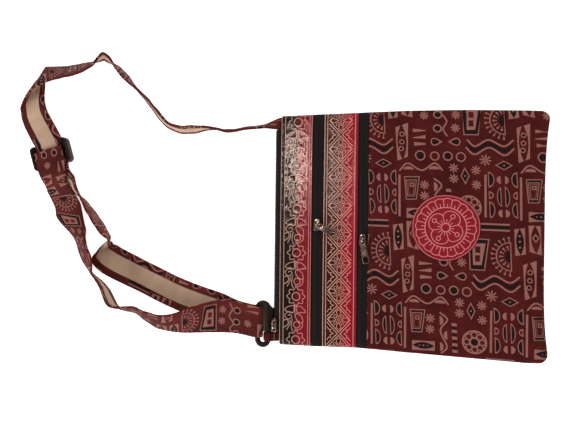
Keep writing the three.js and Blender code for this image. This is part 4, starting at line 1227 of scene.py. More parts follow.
SECOND_RUN = [
    [-407, 63.5, 5.5, 195, -8, 37], [-394.5, 57, 10, 188, -22, 38], [-381.8, 51.3, 15.2, 181, -43, 38],
    [-375.2, 42.6, 16.9, 178, -49, 38], [-360.8, 28.3, 19.3, 174, -66, 38],
    [-349.2, 12.6, 19.4, 181, -73, 37.5], [-338.6, -2.8, 19.4, 187, -75, 37.5],
    [-332.2, -12.5, 18, 192, -65, 37], [-340.2, -21.6, 12.5, 202, -33, 37.5],
    [-347.2, -29.4, 5, 212, -8, 38], [-336.6, -38.6, 2.2, 240, 0, 38], [-300.2, -55, 1.6, 248, 0, 36.5],
    [-250, -76.4, 1.5, 249, 0, 36.5], [-207, -89.4, 1.4, 253, 0, 36], [-182, -97.8, 1.4, 264, 0, 35],
]
THIRD_RUN = [
    [-182, -97.5, 9.2, -90, -3, 36], [-204, -97.5, 7.2, -92, -8, 38], [-236, -103, 11.5, -101, -30, 38],
    [-250, -105.5, 14.5, -109, -40, 38], [-270, -106, 17, -121, -50, 38], [-289, -98.5, 18, -133, -56, 38],
    [-301, -93, 18.5, -139, -60, 38], [-315, -92, 19.5, -146, -66, 38], [-326, -88, 20, -147, -73, 38],
    [-332, -78, 20, -148, -74, 38], [-340, -65, 19.5, -156, -70, 38], [-355, -51, 17.5, -168, -56, 38],
    [-363.5, -36, 13.8, -172, -43, 35], [-370, -21, 12.5, -176, -40, 33], [-374, -11.5, 11.8, -178, -36, 34],
    [-380.5, -2.2, 8.4, -179.5, -21, 35], [-390, 11, 5.2, -178, -8, 38], [-393, 24, 5.5, -177, -9, 38],
    [-396.7, 34, 7.5, -174, -12, 38], [-402.2, 45.4, 11.2, -167, -19, 36.5],
    [-404.2, 53.2, 11.8, -165, -17, 37], [-408, 62.6, 11.6, -163, -6, 36],
]


def glide_row(along, z):
    """A row of the strap at the slider, at a distance along it and a height."""
    turn = math.radians(GLIDE["across"])
    x = GLIDE["x"] + along * math.sin(turn)
    y = GLIDE["y"] - along * math.cos(turn)
    return [x, y, z, GLIDE["across"] + 180, 0, GLIDE["strap"]]


def strap_rows():
    """The whole strap in rows: from the bag to the slider, to the loop, and back to the slider."""
    over_bar = GLIDE["bar_height"] + 0.35 + STRAP_HALF
    under_all = STRAP_HALF + 0.05
    tail_low = GLIDE["centre_from"] - 0.3 - STRAP_HALF
    over_centre = GLIDE["centre_to"] + 0.3 + STRAP_HALF
    bend = (over_centre - tail_low) / 2
    threaded = [(-15, over_bar + 0.1), (-11.2, over_bar), (-7.6, 2.6), (-4.6, under_all),
                (0, under_all), (4.6, under_all), (7.6, 2.6), (11.2, over_bar), (15.2, over_bar + 0.1)]
    returning = [(15, over_centre + 0.4), (8, over_centre + 0.1), (2.6, over_centre)]
    tail = [(2.6, tail_low), (5, tail_low + 0.5), (8, tail_low + 2.1), (11.2, tail_low + 3.4),
            (15, tail_low + 3.5)]
    rows = FIRST_RUN + [glide_row(along, z) for along, z in threaded] + SECOND_RUN
    # Round the loop's far bar.
    wrap = RING["bar"] / 2 + 0.4 + STRAP_HALF
    for angle in np.radians(np.arange(-90, 91, 22.5)):
        x = RING["x"] - RING["bar_gap"] / 2 + wrap * math.cos(angle)
        z = RING["z"] + wrap * math.sin(angle)
        rows.append([x, RING["y"] + RING["shift"], z, 270, 0, RING["strap"]])
    # Back to the slider and round its raised bar.
    rows = rows + THIRD_RUN + [glide_row(along, z) for along, z in returning]
    for angle in np.radians(np.arange(90, 271, 22.5)):
        z = (over_centre + tail_low) / 2 + bend * math.sin(angle)
        rows.append(glide_row(-2.2 + bend * math.cos(angle), z))
    rows = np.array(rows + [glide_row(along, z) for along, z in tail], float)
    rows[:, 3] = np.unwrap(rows[:, 3], period=360)
    return rows


def run_along(line):
    """Length so far at each point of a line."""
    return np.concatenate([[0], np.cumsum(np.linalg.norm(np.diff(line, axis=0), axis=1))])


def at_runs(runs, known_runs, table):
    """Rows of a table at given lengths along it."""
    return np.column_stack([np.interp(runs, known_runs, column) for column in table.T])


def strap_path(per=12):
    """Close-set frames along the strap: length so far, middle, line across, printed side and width."""
    rows = strap_rows()
    last = len(rows) - 1
    before = 2 * rows[0, :3] - rows[1, :3]
    after = 2 * rows[last, :3] - rows[last - 1, :3]
    points = np.vstack([before, rows[:, :3], after])
    middles, aheads, values = [], [], []
    for i in range(last):
        p0, p1, p2, p3 = points[i:i + 4]
        d0, d1, d2 = (max(np.linalg.norm(b - a), 1e-3) ** 0.5 for a, b in ((p0, p1), (p1, p2), (p2, p3)))
        t1 = ((p1 - p0) / d0 - (p2 - p0) / (d0 + d1) + (p2 - p1) / d1) * d1
        t2 = ((p2 - p1) / d1 - (p3 - p1) / (d1 + d2) + (p3 - p2) / d2) * d1
        c2 = 3 * (p2 - p1) - 2 * t1 - t2
        c3 = 2 * (p1 - p2) + t1 + t2
        a, b, c, d = rows[max(i - 1, 0)], rows[i], rows[i + 1], rows[min(i + 2, last)]
        for t in np.linspace(0, 1, per, endpoint=i == last - 1):
            middles.append(p1 + t1 * t + c2 * t ** 2 + c3 * t ** 3)
            aheads.append(t1 + 2 * c2 * t + 3 * c3 * t ** 2)
            values.append((2 * t ** 3 - 3 * t ** 2 + 1) * b + (t ** 3 - 2 * t ** 2 + t) * (c - a) / 2
                          + (3 * t ** 2 - 2 * t ** 3) * c + (t ** 3 - t ** 2) * (d - b) / 2)
    middle, ahead, value = np.array(middles), np.array(aheads), np.array(values)
    turn, lean = np.radians(value[:, 3]), np.radians(value[:, 4])
    across = np.column_stack([np.cos(lean) * np.cos(turn), np.cos(lean) * np.sin(turn), np.sin(lean)])
    printed = np.cross(ahead, across)
    printed = printed / np.linalg.norm(printed, axis=1)[:, None]
    return run_along(middle), middle, across, printed, value[:, 5]


RUN, MIDDLE, ACROSS, PRINTED, WIDTH = strap_path()
STRAP_LENGTH = RUN[-1]


# How free the strap is to ripple, by its length so far: not at all where it is sewn, threaded or looped.
FREEDOM = np.array([
    [0, 0], [25, 0], [60, 1], [385, 1], [400, 0], [460, 0], [480, 1],
    [770, 1], [785, 0], [830, 0], [850, 1], [1130, 1], [1145, 0], [1210, 0],
])


def loose(run):
    """The strap's freedom at a length along it."""
    return np.interp(run, FREEDOM[:, 0], FREEDOM[:, 1])


def on_strap(run, across, depth):
    """Places a point of the strap: across it in millimetres of its full width, and depth toward its
    printed side. Where the strap is free, it ripples and its edges curl back."""
    share = across / (STRAP_WIDTH / 2)
    wave = 0.3 * np.sin(run / 3.7 + 0.5 * share) * np.sin(run / 9.1 + 1)
    wave = wave + 0.25 * np.sin(run / 6.3 - 2.2 * share)
    sag = depth + loose(run) * (wave - 0.7 * share ** 2)
    width = np.interp(run, RUN, WIDTH)
    side = at_runs(run, RUN, ACROSS) * (across * width / STRAP_WIDTH)[:, None]
    return at_runs(run, RUN, MIDDLE) + side + at_runs(run, RUN, PRINTED) * sag[:, None]


# Way round the strap's cloth from the middle of its face: round the edge, along the hem, into the recess.
EDGE_END = STRAP_FACE + math.pi * STRAP_HALF
HEM_END = EDGE_END + STRAP_FACE - HEM_EDGE
WALL_END = HEM_END + STRAP_HALF + RECESS
CLOTH_END = WALL_END + HEM_EDGE


def strap_profile(way):
    """Across and depth for a way round the cloth, which is negative on one side."""
    size = np.abs(way)
    angle = np.clip((size - STRAP_FACE) / STRAP_HALF, 0, math.pi)
    across = np.where(size < STRAP_FACE, size, STRAP_FACE + STRAP_HALF * np.sin(angle))
    depth = STRAP_HALF * np.cos(angle)
    across = np.where(size > EDGE_END, STRAP_FACE - (size - EDGE_END), across)
    across = np.where(size > HEM_END, HEM_EDGE, across)
    depth = np.where(size > HEM_END, -STRAP_HALF + (size - HEM_END), depth)
    across = np.where(size > WALL_END, HEM_EDGE - (size - WALL_END), across)
    depth = np.where(size > WALL_END, RECESS, depth)
    return across * np.sign(way), depth


# Lengths along the strap where it lies in the slider and round the loop, and the length of its tail, which
# goes back through the slider.
IN_SLIDER = (400, 452)
ROUND_LOOP = (785, 812)
TAIL = 55


def strap_steps():
    """Lengths at which the strap has a row of points: closer where it bends sharply."""
    steps = [0.0]
    while steps[-1] < STRAP_LENGTH - 2.6:
        at = steps[-1]
        in_slider = IN_SLIDER[0] < at < IN_SLIDER[1] or at > STRAP_LENGTH - TAIL
        round_loop = ROUND_LOOP[0] < at < ROUND_LOOP[1]
        steps.append(at + (1.0 if in_slider or round_loop else 2.4))
    return np.array(steps + [STRAP_LENGTH])


# The strap's print: the length along the strap where a known u of the print lies, the v in the strap's
# middle, and how much smaller the print is along it.
STRAP_PRINT_RUN = 870
STRAP_PRINT_U = 110.5
STRAP_PRINT_V = 30
STRAP_PRINT_SHRINK = 1.033


def on_strap_cloth(u, v):
    """Where the print lies on the strap: a strip cut along the print's u."""
    return np.column_stack([STRAP_PRINT_RUN + (u - STRAP_PRINT_U) / STRAP_PRINT_SHRINK, STRAP_PRINT_V - v])


def cotton_strap():
    """The strap's printed cover, with both hems turned to the back."""
    steps = strap_steps()
    # Ways round one half of the cloth: face, rounded edge, hem and recess.
    half = np.concatenate([
        np.arange(0, STRAP_FACE, 3.74), [STRAP_FACE], STRAP_FACE + STRAP_HALF * np.radians([45, 90, 135]),
        [EDGE_END, EDGE_END + 2.9, EDGE_END + 5.8, HEM_END, WALL_END, WALL_END + 5, CLOTH_END],
    ])
    ways = np.concatenate([-half[:0:-1], half])
    outline = np.vstack([
        np.column_stack([steps, np.full(len(steps), -CLOTH_END)]),
        np.column_stack([np.full(len(ways) - 2, STRAP_LENGTH), ways[1:-1]]),
        np.column_stack([steps[::-1], np.full(len(steps), CLOTH_END)]),
        np.column_stack([np.zeros(len(ways) - 2), ways[-2:0:-1]]),
    ])
    inner = np.array([(s, w) for s in steps[1:-1] for w in ways[1:-1]])
    first = math.floor((STRAP_PRINT_U - STRAP_PRINT_RUN * STRAP_PRINT_SHRINK) / REPEAT_U) - 1
    shapes = repeat_print(on_strap_cloth, (0.5, -33), (STRAP_LENGTH - 0.5, 33),
                          range(first, first + 13), range(-1, 2))
    # The cloth is cut along every line where it folds.
    folds = []
    for way in half[half >= STRAP_FACE][:-1]:
        folds += [np.column_stack([steps, np.full(len(steps), side * way)]) for side in (-1, 1)]
    flat, triangles, ink = cut_cloth(outline, shapes, inner, folds)
    across, depth = strap_profile(flat[:, 1])
    points = on_strap(flat[:, 0], across, depth)
    # The two long edges meet in the middle of the recess, so they share their points.
    low_edge = {round(s, 4): i for i, (s, w) in enumerate(flat) if w < -CLOTH_END + 1e-4}
    shared = np.arange(len(flat))
    for i in np.nonzero(flat[:, 1] > CLOTH_END - 1e-4)[0]:
        shared[i] = low_edge[round(flat[i, 0], 4)]
    faces = shared[triangles].tolist()
    # Close both ends across the section.
    for end in (0.0, STRAP_LENGTH):
        ring = [i for i in np.nonzero(np.abs(flat[:, 0] - end) < 1e-4)[0] if flat[i, 1] < CLOTH_END - 1e-4]
        ring = sorted(ring, key=lambda i: flat[i, 1])
        faces.append(ring if end == 0 else ring[::-1])
    used, numbers = np.unique(np.concatenate(faces), return_inverse=True)
    numbers = iter(numbers.tolist())
    faces = [[next(numbers) for _ in face] for face in faces]
    piece = make_piece("strap_cotton", points[used], faces, STRAP_COTTON, 60, ink, flat[used])
    finish_piece(piece, "bag", "printed_cotton", "strap_cover")


def strap_webbing():
    """The webbing between the hems, with a faint crease every 37 mm where it was folded."""
    steps = strap_steps()
    sides = np.linspace(-10.6, 10.6, 9)
    fold_apart = 37.0
    from_fold = (steps + 9) % fold_apart - fold_apart / 2
    crease = 0.22 * np.exp(-(from_fold / 1.2) ** 2) * loose(steps)
    back, front = [], []
    for side in sides:
        back.append(on_strap(steps, np.full(len(steps), side), -0.95 - crease))
        front.append(on_strap(steps, np.full(len(steps), side), np.full(len(steps), 0.15)))
    points, faces = grid_shell(np.stack(back, axis=1), np.stack(front, axis=1))
    flat = np.array([(s, w) for s in steps for w in sides])
    piece = make_piece("strap_back_webbing", points, faces, WEBBING, 50, flat=np.vstack([flat, flat]))
    finish_piece(piece, "bag", "webbing", "strap_webbing")


def ring_tab():
    """Cloth tab from the bag's corner round the loop's near bar and back."""
    bar_x = RING["x"] + RING["bar_gap"] / 2
    thick, half_wide, middle_y = 1.8, 4.5, -117
    radius = RING["bar"] / 2 + 0.35 + thick / 2
    line = [(-135.6, 5.8), (-138.6, 6.7)]
    for angle in np.radians(np.linspace(75, 285, 15)):
        line.append((bar_x + radius * math.cos(angle), RING["z"] + radius * math.sin(angle)))
    line = np.array(line + [(-138.6, 2.2), (-135.6, 2.6)])
    corners = run_along(line)
    run = np.linspace(0, corners[-1], 49)
    line = at_runs(run, corners, line)
    ahead = np.gradient(line, axis=0)
    out = np.column_stack([ahead[:, 1], -ahead[:, 0]]) / np.linalg.norm(ahead, axis=1)[:, None]
    sides = np.linspace(-half_wide, half_wide, 9)
    layers = []
    for layer in (-0.5, 0.5):
        rows = []
        for side in sides:
            soft = 0.25 * (side / half_wide) ** 4
            at = line + out * (layer * (thick - soft * 2))
            rows.append(np.column_stack([at[:, 0], np.full(len(at), middle_y + side), at[:, 1]]))
        layers.append(np.stack(rows, axis=1))
    points, faces = grid_shell(layers[1], layers[0])
    flat = np.array([(s, w) for s in run for w in sides])
    # A piece of the print shows on the tab: bars across it, light and dark.
    grid = np.vstack([flat, flat])
    ink = np.zeros(len(faces))
    for k, face in enumerate(faces):
        along, aside = grid[face].mean(axis=0)
        if 2.6 < along < 4.6 or 7.6 < along < 9.4:
            ink[k] = DARK_INK
        if 4.6 < along < 5.8 and abs(aside) < 3.4:
            ink[k] = LIGHT_INK
    piece = make_piece("loop_tab_cotton", points, faces, COTTON, 60, ink, np.vstack([flat, flat]))
    finish_piece(piece, "bag", "printed_cotton", "ring_tab")


def stitch_row(line, ups, length, gap, radius):
    """Points and faces of stitches along a line: short rounded threads that lie half sunk in the cloth."""
    run = run_along(line)
    middles = np.arange(length, run[-1] - length, length + gap)
    points, faces = [], []
    # Rows of a stitch: place along it and its radius there.
    shape = ((-0.5, 0.3), (-0.36, 0.9), (0.0, 1.0), (0.36, 0.9), (0.5, 0.3))
    sides = 6
    for middle in middles:
        ends = at_runs([middle - length / 2, middle + length / 2], run, line)
        up = at_runs([middle], run, ups)[0]
        along = (ends[1] - ends[0]) / np.linalg.norm(ends[1] - ends[0])
        side = np.cross(up, along)
        side = side / np.linalg.norm(side)
        up = np.cross(along, side)
        base = len(points)
        for t, grow in shape:
            centre = ends[0] + (t + 0.5) * (ends[1] - ends[0])
            for k in range(sides):
                angle = 2 * math.pi * k / sides
                points.append(centre + radius * grow * (math.cos(angle) * side + math.sin(angle) * up))
        faces += tube_faces(base, len(shape), sides)
    return points, faces


def stitches(name, rows, material, slot, length=2.3, gap=0.9, radius=0.24):
    """All the stitches of one seam as a single mesh. rows holds pairs of a line and the way up from the
    cloth along it."""
    points, faces = [], []
    for line, ups in rows:
        more, quads = stitch_row(line, ups, length, gap, radius)
        faces += [[len(points) + i for i in quad] for quad in quads]
        points += more
    piece = make_piece(name, points, faces, material, 60)
    finish_piece(piece, "bag", slot)


def straight_up(line):
    """The way up at each point of a line that lies flat."""
    return np.tile([0.0, 0.0, 1.0], (len(line), 1))


def front_line(x, lift, inset_by=3.0):
    """A line across the front at one x, on the surface of a piece."""
    y = np.arange(low_side(x) + inset_by, high_side(x) - inset_by, 1.0)
    line = on_top(lift)(np.full(len(y), x), y)
    return line, straight_up(line)


def strap_line(across, depth):
    """A line along the strap, and the way out of its cloth there."""
    run = np.arange(26.0, STRAP_LENGTH - 50, 1.0)
    out = at_runs(run, RUN, PRINTED) * math.copysign(1, depth)
    return on_strap(run, np.full(len(run), across), np.full(len(run), depth)), out


def sew():
    """Rows of stitches along the front's turned edge, the leather bands, the patch and the strap's hems."""
    stitches("front_edge_stitches", [front_line(-36.0, FRONT_LIFT)], MAROON_THREAD, "printed_cotton")
    upper = [front_line(x, BAND_UPPER) for x in (-132.3, -102.0)]
    lower = [front_line(x, BAND_LOWER) for x in (-85.4, -52.6)]
    stitches("band_stitches", upper + lower, BLACK_THREAD, "embossed_leather")
    turn = np.radians(np.arange(0, 364, 2.0))
    seam = 33.0
    x = PATCH["x"] + seam * np.cos(turn)
    y = PATCH["y"] + seam * np.sin(turn)
    ring = np.column_stack([x, y, front_height(x, y) + PATCH["gap"] + PATCH["thick"] - 0.32])
    stitches("patch_stitches", [(ring, straight_up(ring))], BLACK_THREAD, "crimson_leather")
    hems = [strap_line(side * 11.4, depth) for side in (-1, 1) for depth in (STRAP_HALF, -STRAP_HALF)]
    stitches("strap_stitches", hems, MAROON_THREAD, "printed_cotton", 2.4, 1.0, 0.22)


cotton_front()
cotton_back()
leather_band("upper_band_leather", BAND_UPPER, upper_band_lines(), UPPER_LEATHER,
             "leather_band_upper")
leather_band("lower_band_leather", BAND_LOWER, lower_band_lines(), LOWER_LEATHER,
             "leather_band_lower")
zip_strip("upper_zip_tape", ZIP_UPPER, "zip_tape_upper")
zip_strip("lower_zip_tape", ZIP_LOWER, "zip_tape_lower")
mouth_zip()
leather_patch()
cotton_strap()
strap_webbing()
ring_tab()
sew()

# Zip sliders: height, gap above the tape, height of a tab's hinge over the slider, slope of a tab.
SLIDER_HEIGHT = 2.4
SLIDER_GAP = 0.35
TAB_RISE = 1.3
TAB_DROOP = 4.0
# body is a slider's length and width, tab those of its pull tab. turn is the way a tab points from +X, and
# lean tips a slider toward the mouth.
ZIPS = (
    {"key": "upper", "x": -94.0, "y": 7.0, "turn": -28, "lean": 0, "body": (13.0, 7.4), "tab": (23.0, 7.4)},
    {"key": "lower", "x": -45.5, "y": -8.0, "turn": -80, "lean": 0, "body": (12.0, 7.4), "tab": (26.0, 7.4)},
    {"key": "mouth", "x": MOUTH_X, "y": -101.0, "turn": -84, "lean": 26, "body": (10.0, 6.0),
     "tab": (10.5, 6.4)},
)


def pick(piece):
    """Selects one object and makes it the active one."""
    bpy.ops.object.select_all(action="DESELECT")
    piece.select_set(True)
    bpy.context.view_layer.objects.active = piece


def block(name, size, centre):
    """A cube of a given size and place, in millimetres."""
    bpy.ops.object.select_all(action="DESELECT")
    bpy.ops.mesh.primitive_cube_add(size=1, location=Vector(centre) * MM)
    piece = bpy.context.object
    piece.name = name
    piece.scale = Vector(size) * MM
    bpy.ops.object.transform_apply(location=True, rotation=True, scale=True)
    return piece


def edit_where(piece, kind, test):
    """Opens a piece in edit mode with the points or edges selected that pass a test of their place."""
    pick(piece)
    bpy.ops.object.mode_set(mode="EDIT")
    bpy.ops.mesh.select_mode(type=kind)
    bpy.ops.mesh.select_all(action="DESELECT")
    bpy.ops.object.mode_set(mode="OBJECT")
    points = [v.co / MM for v in piece.data.vertices]
    if kind == "VERT":
        for v in piece.data.vertices:
            v.select = test(points[v.index])
    else:
        for e in piece.data.edges:
            e.select = test(points[e.vertices[0]], points[e.vertices[1]])
    bpy.ops.object.mode_set(mode="EDIT")


def round_edges(piece, test, radius, segments):
    """Rounds the edges whose two ends pass a test."""
    edit_where(piece, "EDGE", test)
    bpy.ops.mesh.bevel(offset=radius * MM, segments=segments, affect="EDGES")
    bpy.ops.object.mode_set(mode="OBJECT")


def resize_where(piece, test, value):
    """Scales the points that pass a test about their own middle."""
    edit_where(piece, "VERT", test)
    bpy.ops.transform.resize(value=value)
    bpy.ops.object.mode_set(mode="OBJECT")


def upright(a, b):
    """A test for edges that stand upright."""
    return abs(a.z - b.z) > 0.5 and math.hypot(a.x - b.x, a.y - b.y) < 0.01


def apply_change(piece, kind, **settings):
    """Adds a modifier and applies it."""
    pick(piece)
    change = piece.modifiers.new("change", kind)
    for key, value in settings.items():
        setattr(change, key, value)
    bpy.ops.object.modifier_apply(modifier=change.name)


def above(height):
    """A test for edges that lie higher than a height."""
    return lambda a, b: a.z > height and b.z > height


def combine(piece, other, how):
    """Joins another solid to a piece, or cuts it out."""
    apply_change(piece, "BOOLEAN", operation=how, object=other, solver="EXACT")
    bpy.data.objects.remove(other, do_unlink=True)


def finish_hard(piece, name, matrix, material, soften):
    """Softens the last sharp edges, puts the piece in its place and gives it a material."""
    apply_change(piece, "BEVEL", width=soften * MM, segments=2, limit_method="ANGLE",
                 angle_limit=math.radians(40))
    piece.data.transform(matrix)
    piece.data.materials.clear()
    piece.data.materials.append(material)
    bpy.ops.object.shade_smooth_by_angle(angle=math.radians(35))
    piece.name = name
    piece.data.name = name


def moved(x, y, z):
    """A matrix that moves by millimetres."""
    return Matrix.Translation(Vector((x, y, z)) * MM)


def turned(degrees, axis):
    """A matrix that turns about an axis."""
    return Matrix.Rotation(math.radians(degrees), 4, axis)


def zip_place(zip_row):
    """Where a slider stands: on the front, or on the rounded mouth tape where that leans as the slider
    does. Gives the matrix of the slider's own frame, with the tab along its x."""
    x, y, lean = zip_row["x"], zip_row["y"], math.radians(zip_row["lean"])
    z = float(front_height(x, y)) + SLIDER_GAP
    if lean:
        half = (float(front_height(x, y)) - MOUTH_ZIP["drop"]) / 2
        angle = math.atan2(half, MOUTH_ZIP["reach"] * math.tan(lean))
        x = x - 2 * HALF_GAP - MOUTH_ZIP["reach"] * math.cos(angle) - SLIDER_GAP * math.sin(lean)
        z = half + MOUTH_ZIP["lift"] + half * math.sin(angle) + SLIDER_GAP * math.cos(lean)
    return moved(x, y, z) @ turned(-zip_row["lean"], "Y") @ turned(zip_row["turn"], "Z")


def zip_slider(zip_row):
    """Slider body with a narrower tail, rounded wings and an arched bail."""
    length, width = zip_row["body"]
    height = SLIDER_HEIGHT
    body = block("slider_body", (length, width, height), (0, 0, height / 2))
    resize_where(body, lambda p: p.x > 0, (1, 0.74, 1))
    round_edges(body, upright, 0.3 * width, 5)
    round_edges(body, above(height - 0.01), 0.7, 3)
    # A slot along both sides, where the tape runs through.
    for side in (-1, 1):
        slot = block("tape_slot", (length + 2, 1.6, 0.7), (0, side * (width / 2), 0.75))
        combine(body, slot, "DIFFERENCE")
    body.data.transform(turned(90 - zip_row["turn"], "Z"))
    # The bail is a flattened ring, cut off where it enters the body.
    bpy.ops.object.select_all(action="DESELECT")
    bpy.ops.mesh.primitive_torus_add(
        major_radius=3.45 * MM, minor_radius=0.54 * MM, major_segments=40, minor_segments=12,
        location=(0, 0, (height + 0.3) * MM), rotation=(math.pi / 2, 0, 0),
    )
    bail = bpy.context.object
    bpy.ops.object.transform_apply(location=True, rotation=True, scale=True)
    edit_where(bail, "VERT", lambda p: True)
    bpy.ops.transform.resize(value=(1, 2, 1))
    bpy.ops.mesh.select_all(action="SELECT")
    bpy.ops.mesh.bisect(
        plane_co=(0, 0, (height - 0.5) * MM), plane_no=(0, 0, 1), use_fill=True, clear_inner=True,
    )
    bpy.ops.object.mode_set(mode="OBJECT")
    combine(body, bail, "UNION")
    finish_hard(body, zip_row["key"] + "_zip_slider_metal", zip_place(zip_row), METAL, 0.12)
    finish_piece(body, "bag", "zip_metal", "zip_slider_" + zip_row["key"])


def zip_pull(zip_row):
    """Pull tab: narrow at its eye, with a ribbed face and a wide slot at its free end."""
    length, width = zip_row["tab"]
    thick = 1.2
    tab = block("pull_tab", (length + 0.7, width, thick), (length / 2 - 0.35, 0, 0))
    resize_where(tab, lambda p: p.x < 0, (1, 0.84, 1))
    round_edges(tab, lambda a, b: upright(a, b) and a.x > 1, 0.38 * width, 6)
    round_edges(tab, lambda a, b: upright(a, b) and a.x < 1, 0.9, 3)
    round_edges(tab, above(0.4 * thick), 0.42, 3)
    eye = block("eye", (3.9, 3.4, 4), (2.65, 0, 0))
    round_edges(eye, upright, 1.0, 4)
    combine(tab, eye, "DIFFERENCE")
    slot_length = 0.25 * length
    slot = block("slot", (slot_length, width - 2.0, 4), (length - 1.1 - slot_length / 2, 0, 0))
    round_edges(slot, upright, min(0.3 * width, 0.42 * slot_length), 5)
    combine(tab, slot, "DIFFERENCE")
    # Ribs along the face between the eye and the slot.
    start, stop = 6.0, length - 2.6 - slot_length
    if stop - start > 3:
        rib = block("rib", (stop - start, 0.55, 0.5), ((start + stop) / 2, -1.65, thick / 2))
        apply_change(rib, "ARRAY", count=4, use_relative_offset=False, use_constant_offset=True,
                     constant_offset_displace=(0, 1.1 * MM, 0))
        combine(tab, rib, "UNION")
    place = zip_place(zip_row) @ moved(0, 0, SLIDER_HEIGHT + TAB_RISE) @ turned(TAB_DROOP, "Y")
    finish_hard(tab, zip_row["key"] + "_zip_pull_metal", place, METAL, 0.26)
    finish_piece(tab, "pull_" + zip_row["key"], "zip_metal", "zip_pull_" + zip_row["key"])


def strap_slider():
    """Three-bar slider: two rounded side lugs, two low bars and a raised bar between them."""
    rail, inner, tall = 6.0, 37.6, GLIDE["centre_to"]
    whole = None
    for side in (-1, 1):
        lug = block("lug", (30, rail, tall), (0, side * (inner + rail) / 2, tall / 2))
        round_edges(lug, lambda a, b: upright(a, b) and a.y * side > 20, 5.2, 7)
        round_edges(lug, above(tall - 0.01), 1.8, 4)
        round_edges(lug, lambda a, b: a.z < 0.01 and b.z < 0.01, 0.8, 2)
        if whole is None:
            whole = lug
        else:
            combine(whole, lug, "UNION")
    # Place along the strap, width and lowest height of each bar.
    for x, wide, low in ((-12.9, 4.0, 0.0), (12.9, 4.0, 0.0), (0.0, 5.0, GLIDE["centre_from"])):
        bar = block("bar", (wide, inner + rail, GLIDE["bar_height"]), (x, 0, low + GLIDE["bar_height"] / 2))
        round_edges(bar, lambda a, b: abs(a.y - b.y) > 10, 0.9, 3)
        combine(whole, bar, "UNION")
    place = moved(GLIDE["x"], GLIDE["y"], 0) @ turned(GLIDE["across"] - 90, "Z")
    finish_hard(whole, "strap_slider_plastic", place, PLASTIC, 0.2)
    finish_piece(whole, "bag", "buckle_plastic", "strap_slider")


def strap_loop():
    """Loop: a ring of round bar pulled out to a long oval, with a flat web along its near bar."""
    bpy.ops.object.select_all(action="DESELECT")
    bpy.ops.mesh.primitive_torus_add(
        major_radius=RING["bar_gap"] / 2 * MM, minor_radius=RING["bar"] / 2 * MM,
        major_segments=48, minor_segments=20, rotation=(0, 0, math.radians(3.75)),
    )
    loop = bpy.context.object
    bpy.ops.object.transform_apply(location=True, rotation=True, scale=True)
    reach = (RING["length"] - RING["bar_gap"]) / 2
    for side in (-1, 1):
        edit_where(loop, "VERT", lambda p: p.y * side > 0)
        bpy.ops.transform.translate(value=(0, side * reach * MM, 0))
        bpy.ops.object.mode_set(mode="OBJECT")
    # Mould line round the middle of the bar: a shallow flat on its top and under side.
    resize_where(loop, lambda p: abs(p.z) > 0.93 * RING["bar"] / 2, (1, 1, 0.97))
    # The web fills the room between the strap and the mouth zip, and steps back beside the mouth slider.
    web = block("web", (11.8, 28.5, 3.2), (5.3, 6.25, 0))
    round_edges(web, lambda a, b: upright(a, b) and a.x > 5 and a.y > 5, 4.6, 6)
    round_edges(web, lambda a, b: abs(a.z - b.z) < 0.01 and a.x > 5 and b.x > 5, 0.7, 3)
    notch = block("notch", (6, 20, 6), (12.4, -3.6, 0))
    round_edges(notch, lambda a, b: upright(a, b) and a.y > 0 and a.x < 12, 1.5, 4)
    combine(web, notch, "DIFFERENCE")
    # A rim under the web's near edge, with a flat foot that reaches under the zip tape, so that dark plastic
    # and not floor fills the gap beside the tape.
    rim = block("rim", (1.6, 10.0, 4.2), (10.3, 12.0, -2.6))
    round_edges(rim, upright, 0.6, 2)
    combine(web, rim, "UNION")
    foot = block("foot", (4.4, 25.2, 1.9), (10.2, 4.4, -4.95))
    round_edges(foot, upright, 0.8, 3)
    combine(web, foot, "UNION")
    combine(loop, web, "UNION")
    finish_hard(loop, "strap_loop_plastic", moved(RING["x"], RING["y"], RING["z"]), PLASTIC, 0.1)
    finish_piece(loop, "bag", "buckle_plastic", "strap_ring")


for zip_row in ZIPS:
    zip_slider(zip_row)
    zip_pull(zip_row)
strap_slider()
strap_loop()


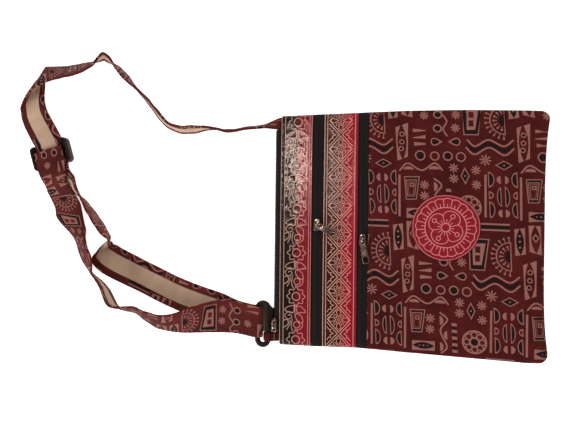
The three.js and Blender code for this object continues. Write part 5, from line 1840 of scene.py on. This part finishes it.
def studio():
    """Pale floor, soft light from two sides, a window's glare, and the camera at the photograph's place."""
    bpy.ops.mesh.primitive_plane_add(size=6, location=(0, 0, -0.0003))
    floor = bpy.context.object
    floor.name = "studio_floor"
    material, tree, shader = start_material("matt_white_paper", 0.9)
    place = add(tree, "TexCoord", {}, "Object")
    # Clouds in the paper are about 17 mm wide.
    fibre = add(tree, "TexNoise", {"Vector": place, "Scale": per_size(16.7), "Detail": 3.0}, "Fac")
    white = add(tree, "Mix", {0: fibre, 6: "#FAFAFA", 7: "#FFFFFF"}, 2, data_type="RGBA")
    # The floor is a light table, lit a little from below.
    fill(tree, shader, {
        "Base Color": white, "Specular IOR Level": 0.0, "Emission Color": "#FFFFFF", "Emission Strength": 0.8,
    })
    floor.data.materials.append(material)

    world = bpy.data.worlds.new("soft_room")
    bpy.context.scene.world = world
    world.use_nodes = True
    sky = world.node_tree
    # The room is brighter near the walls than overhead.
    aim = add(sky, "TexCoord", {}, "Generated")
    height = add(sky, "SeparateXYZ", {0: aim}, "Z")
    glow = add(sky, "MapRange", {
        "Value": height, "From Min": 0.2, "From Max": 0.95, "To Min": 0.85, "To Max": 0.22,
    }, "Result")
    fill(sky, sky.nodes["Background"], {"Color": "#FFFFFF", "Strength": glow})

    # Name, place, point aimed at, width, length, roll and power. The two large ones stand to the side, so
    # that no leather mirrors them to the camera. The window's glare lies on the upper band.
    lights = (
        ("soft_key", (-1.6, -1.4, 1.5), (-0.12, 0, 0), 1.2, 1.2, 0, 32.0),
        ("soft_fill", (1.5, 1.5, 1.6), (-0.12, 0, 0), 1.6, 1.6, 0, 16.0),
        ("window", (-0.315, 0.247, 1.2), (-0.11, 0.07, 0), 0.08, 0.2, -52.5, 2.9),
    )
    for name, place, aim, width, length, roll, power in lights:
        lamp = bpy.data.lights.new(name, "AREA")
        lamp.shape = "RECTANGLE"
        lamp.energy = power
        lamp.size = width
        lamp.size_y = length
        holder = bpy.data.objects.new(name, lamp)
        holder.location = place
        turn = (Vector(aim) - Vector(place)).to_track_quat("-Z", "Y")
        holder.rotation_euler = (turn @ Quaternion((0, 0, 1), math.radians(roll))).to_euler()
        bpy.context.scene.collection.objects.link(holder)

    lens_data = bpy.data.cameras.new("photo_camera")
    lens_data.lens = 31.2
    lens_data.sensor_width = 36.0
    camera = bpy.data.objects.new("photo_camera", lens_data)
    # The camera looks down from above the bag, a little askew.
    place = Vector((-33.7, 16.6, 546.8)) * MM
    looked_at = Vector((-127.2, 15.4, 0)) * MM
    roll = math.radians(0.7)
    back = (place - looked_at).normalized()
    up = Vector((-math.sin(roll), math.cos(roll), 0))
    right = up.cross(back).normalized()
    up = back.cross(right)
    turn = Matrix((right, up, back)).transposed()
    camera.matrix_world = Matrix.Translation(place) @ turn.to_4x4()
    bpy.context.scene.collection.objects.link(camera)
    bpy.context.scene.camera = camera
    bpy.context.scene.view_settings.view_transform = "Standard"


studio()
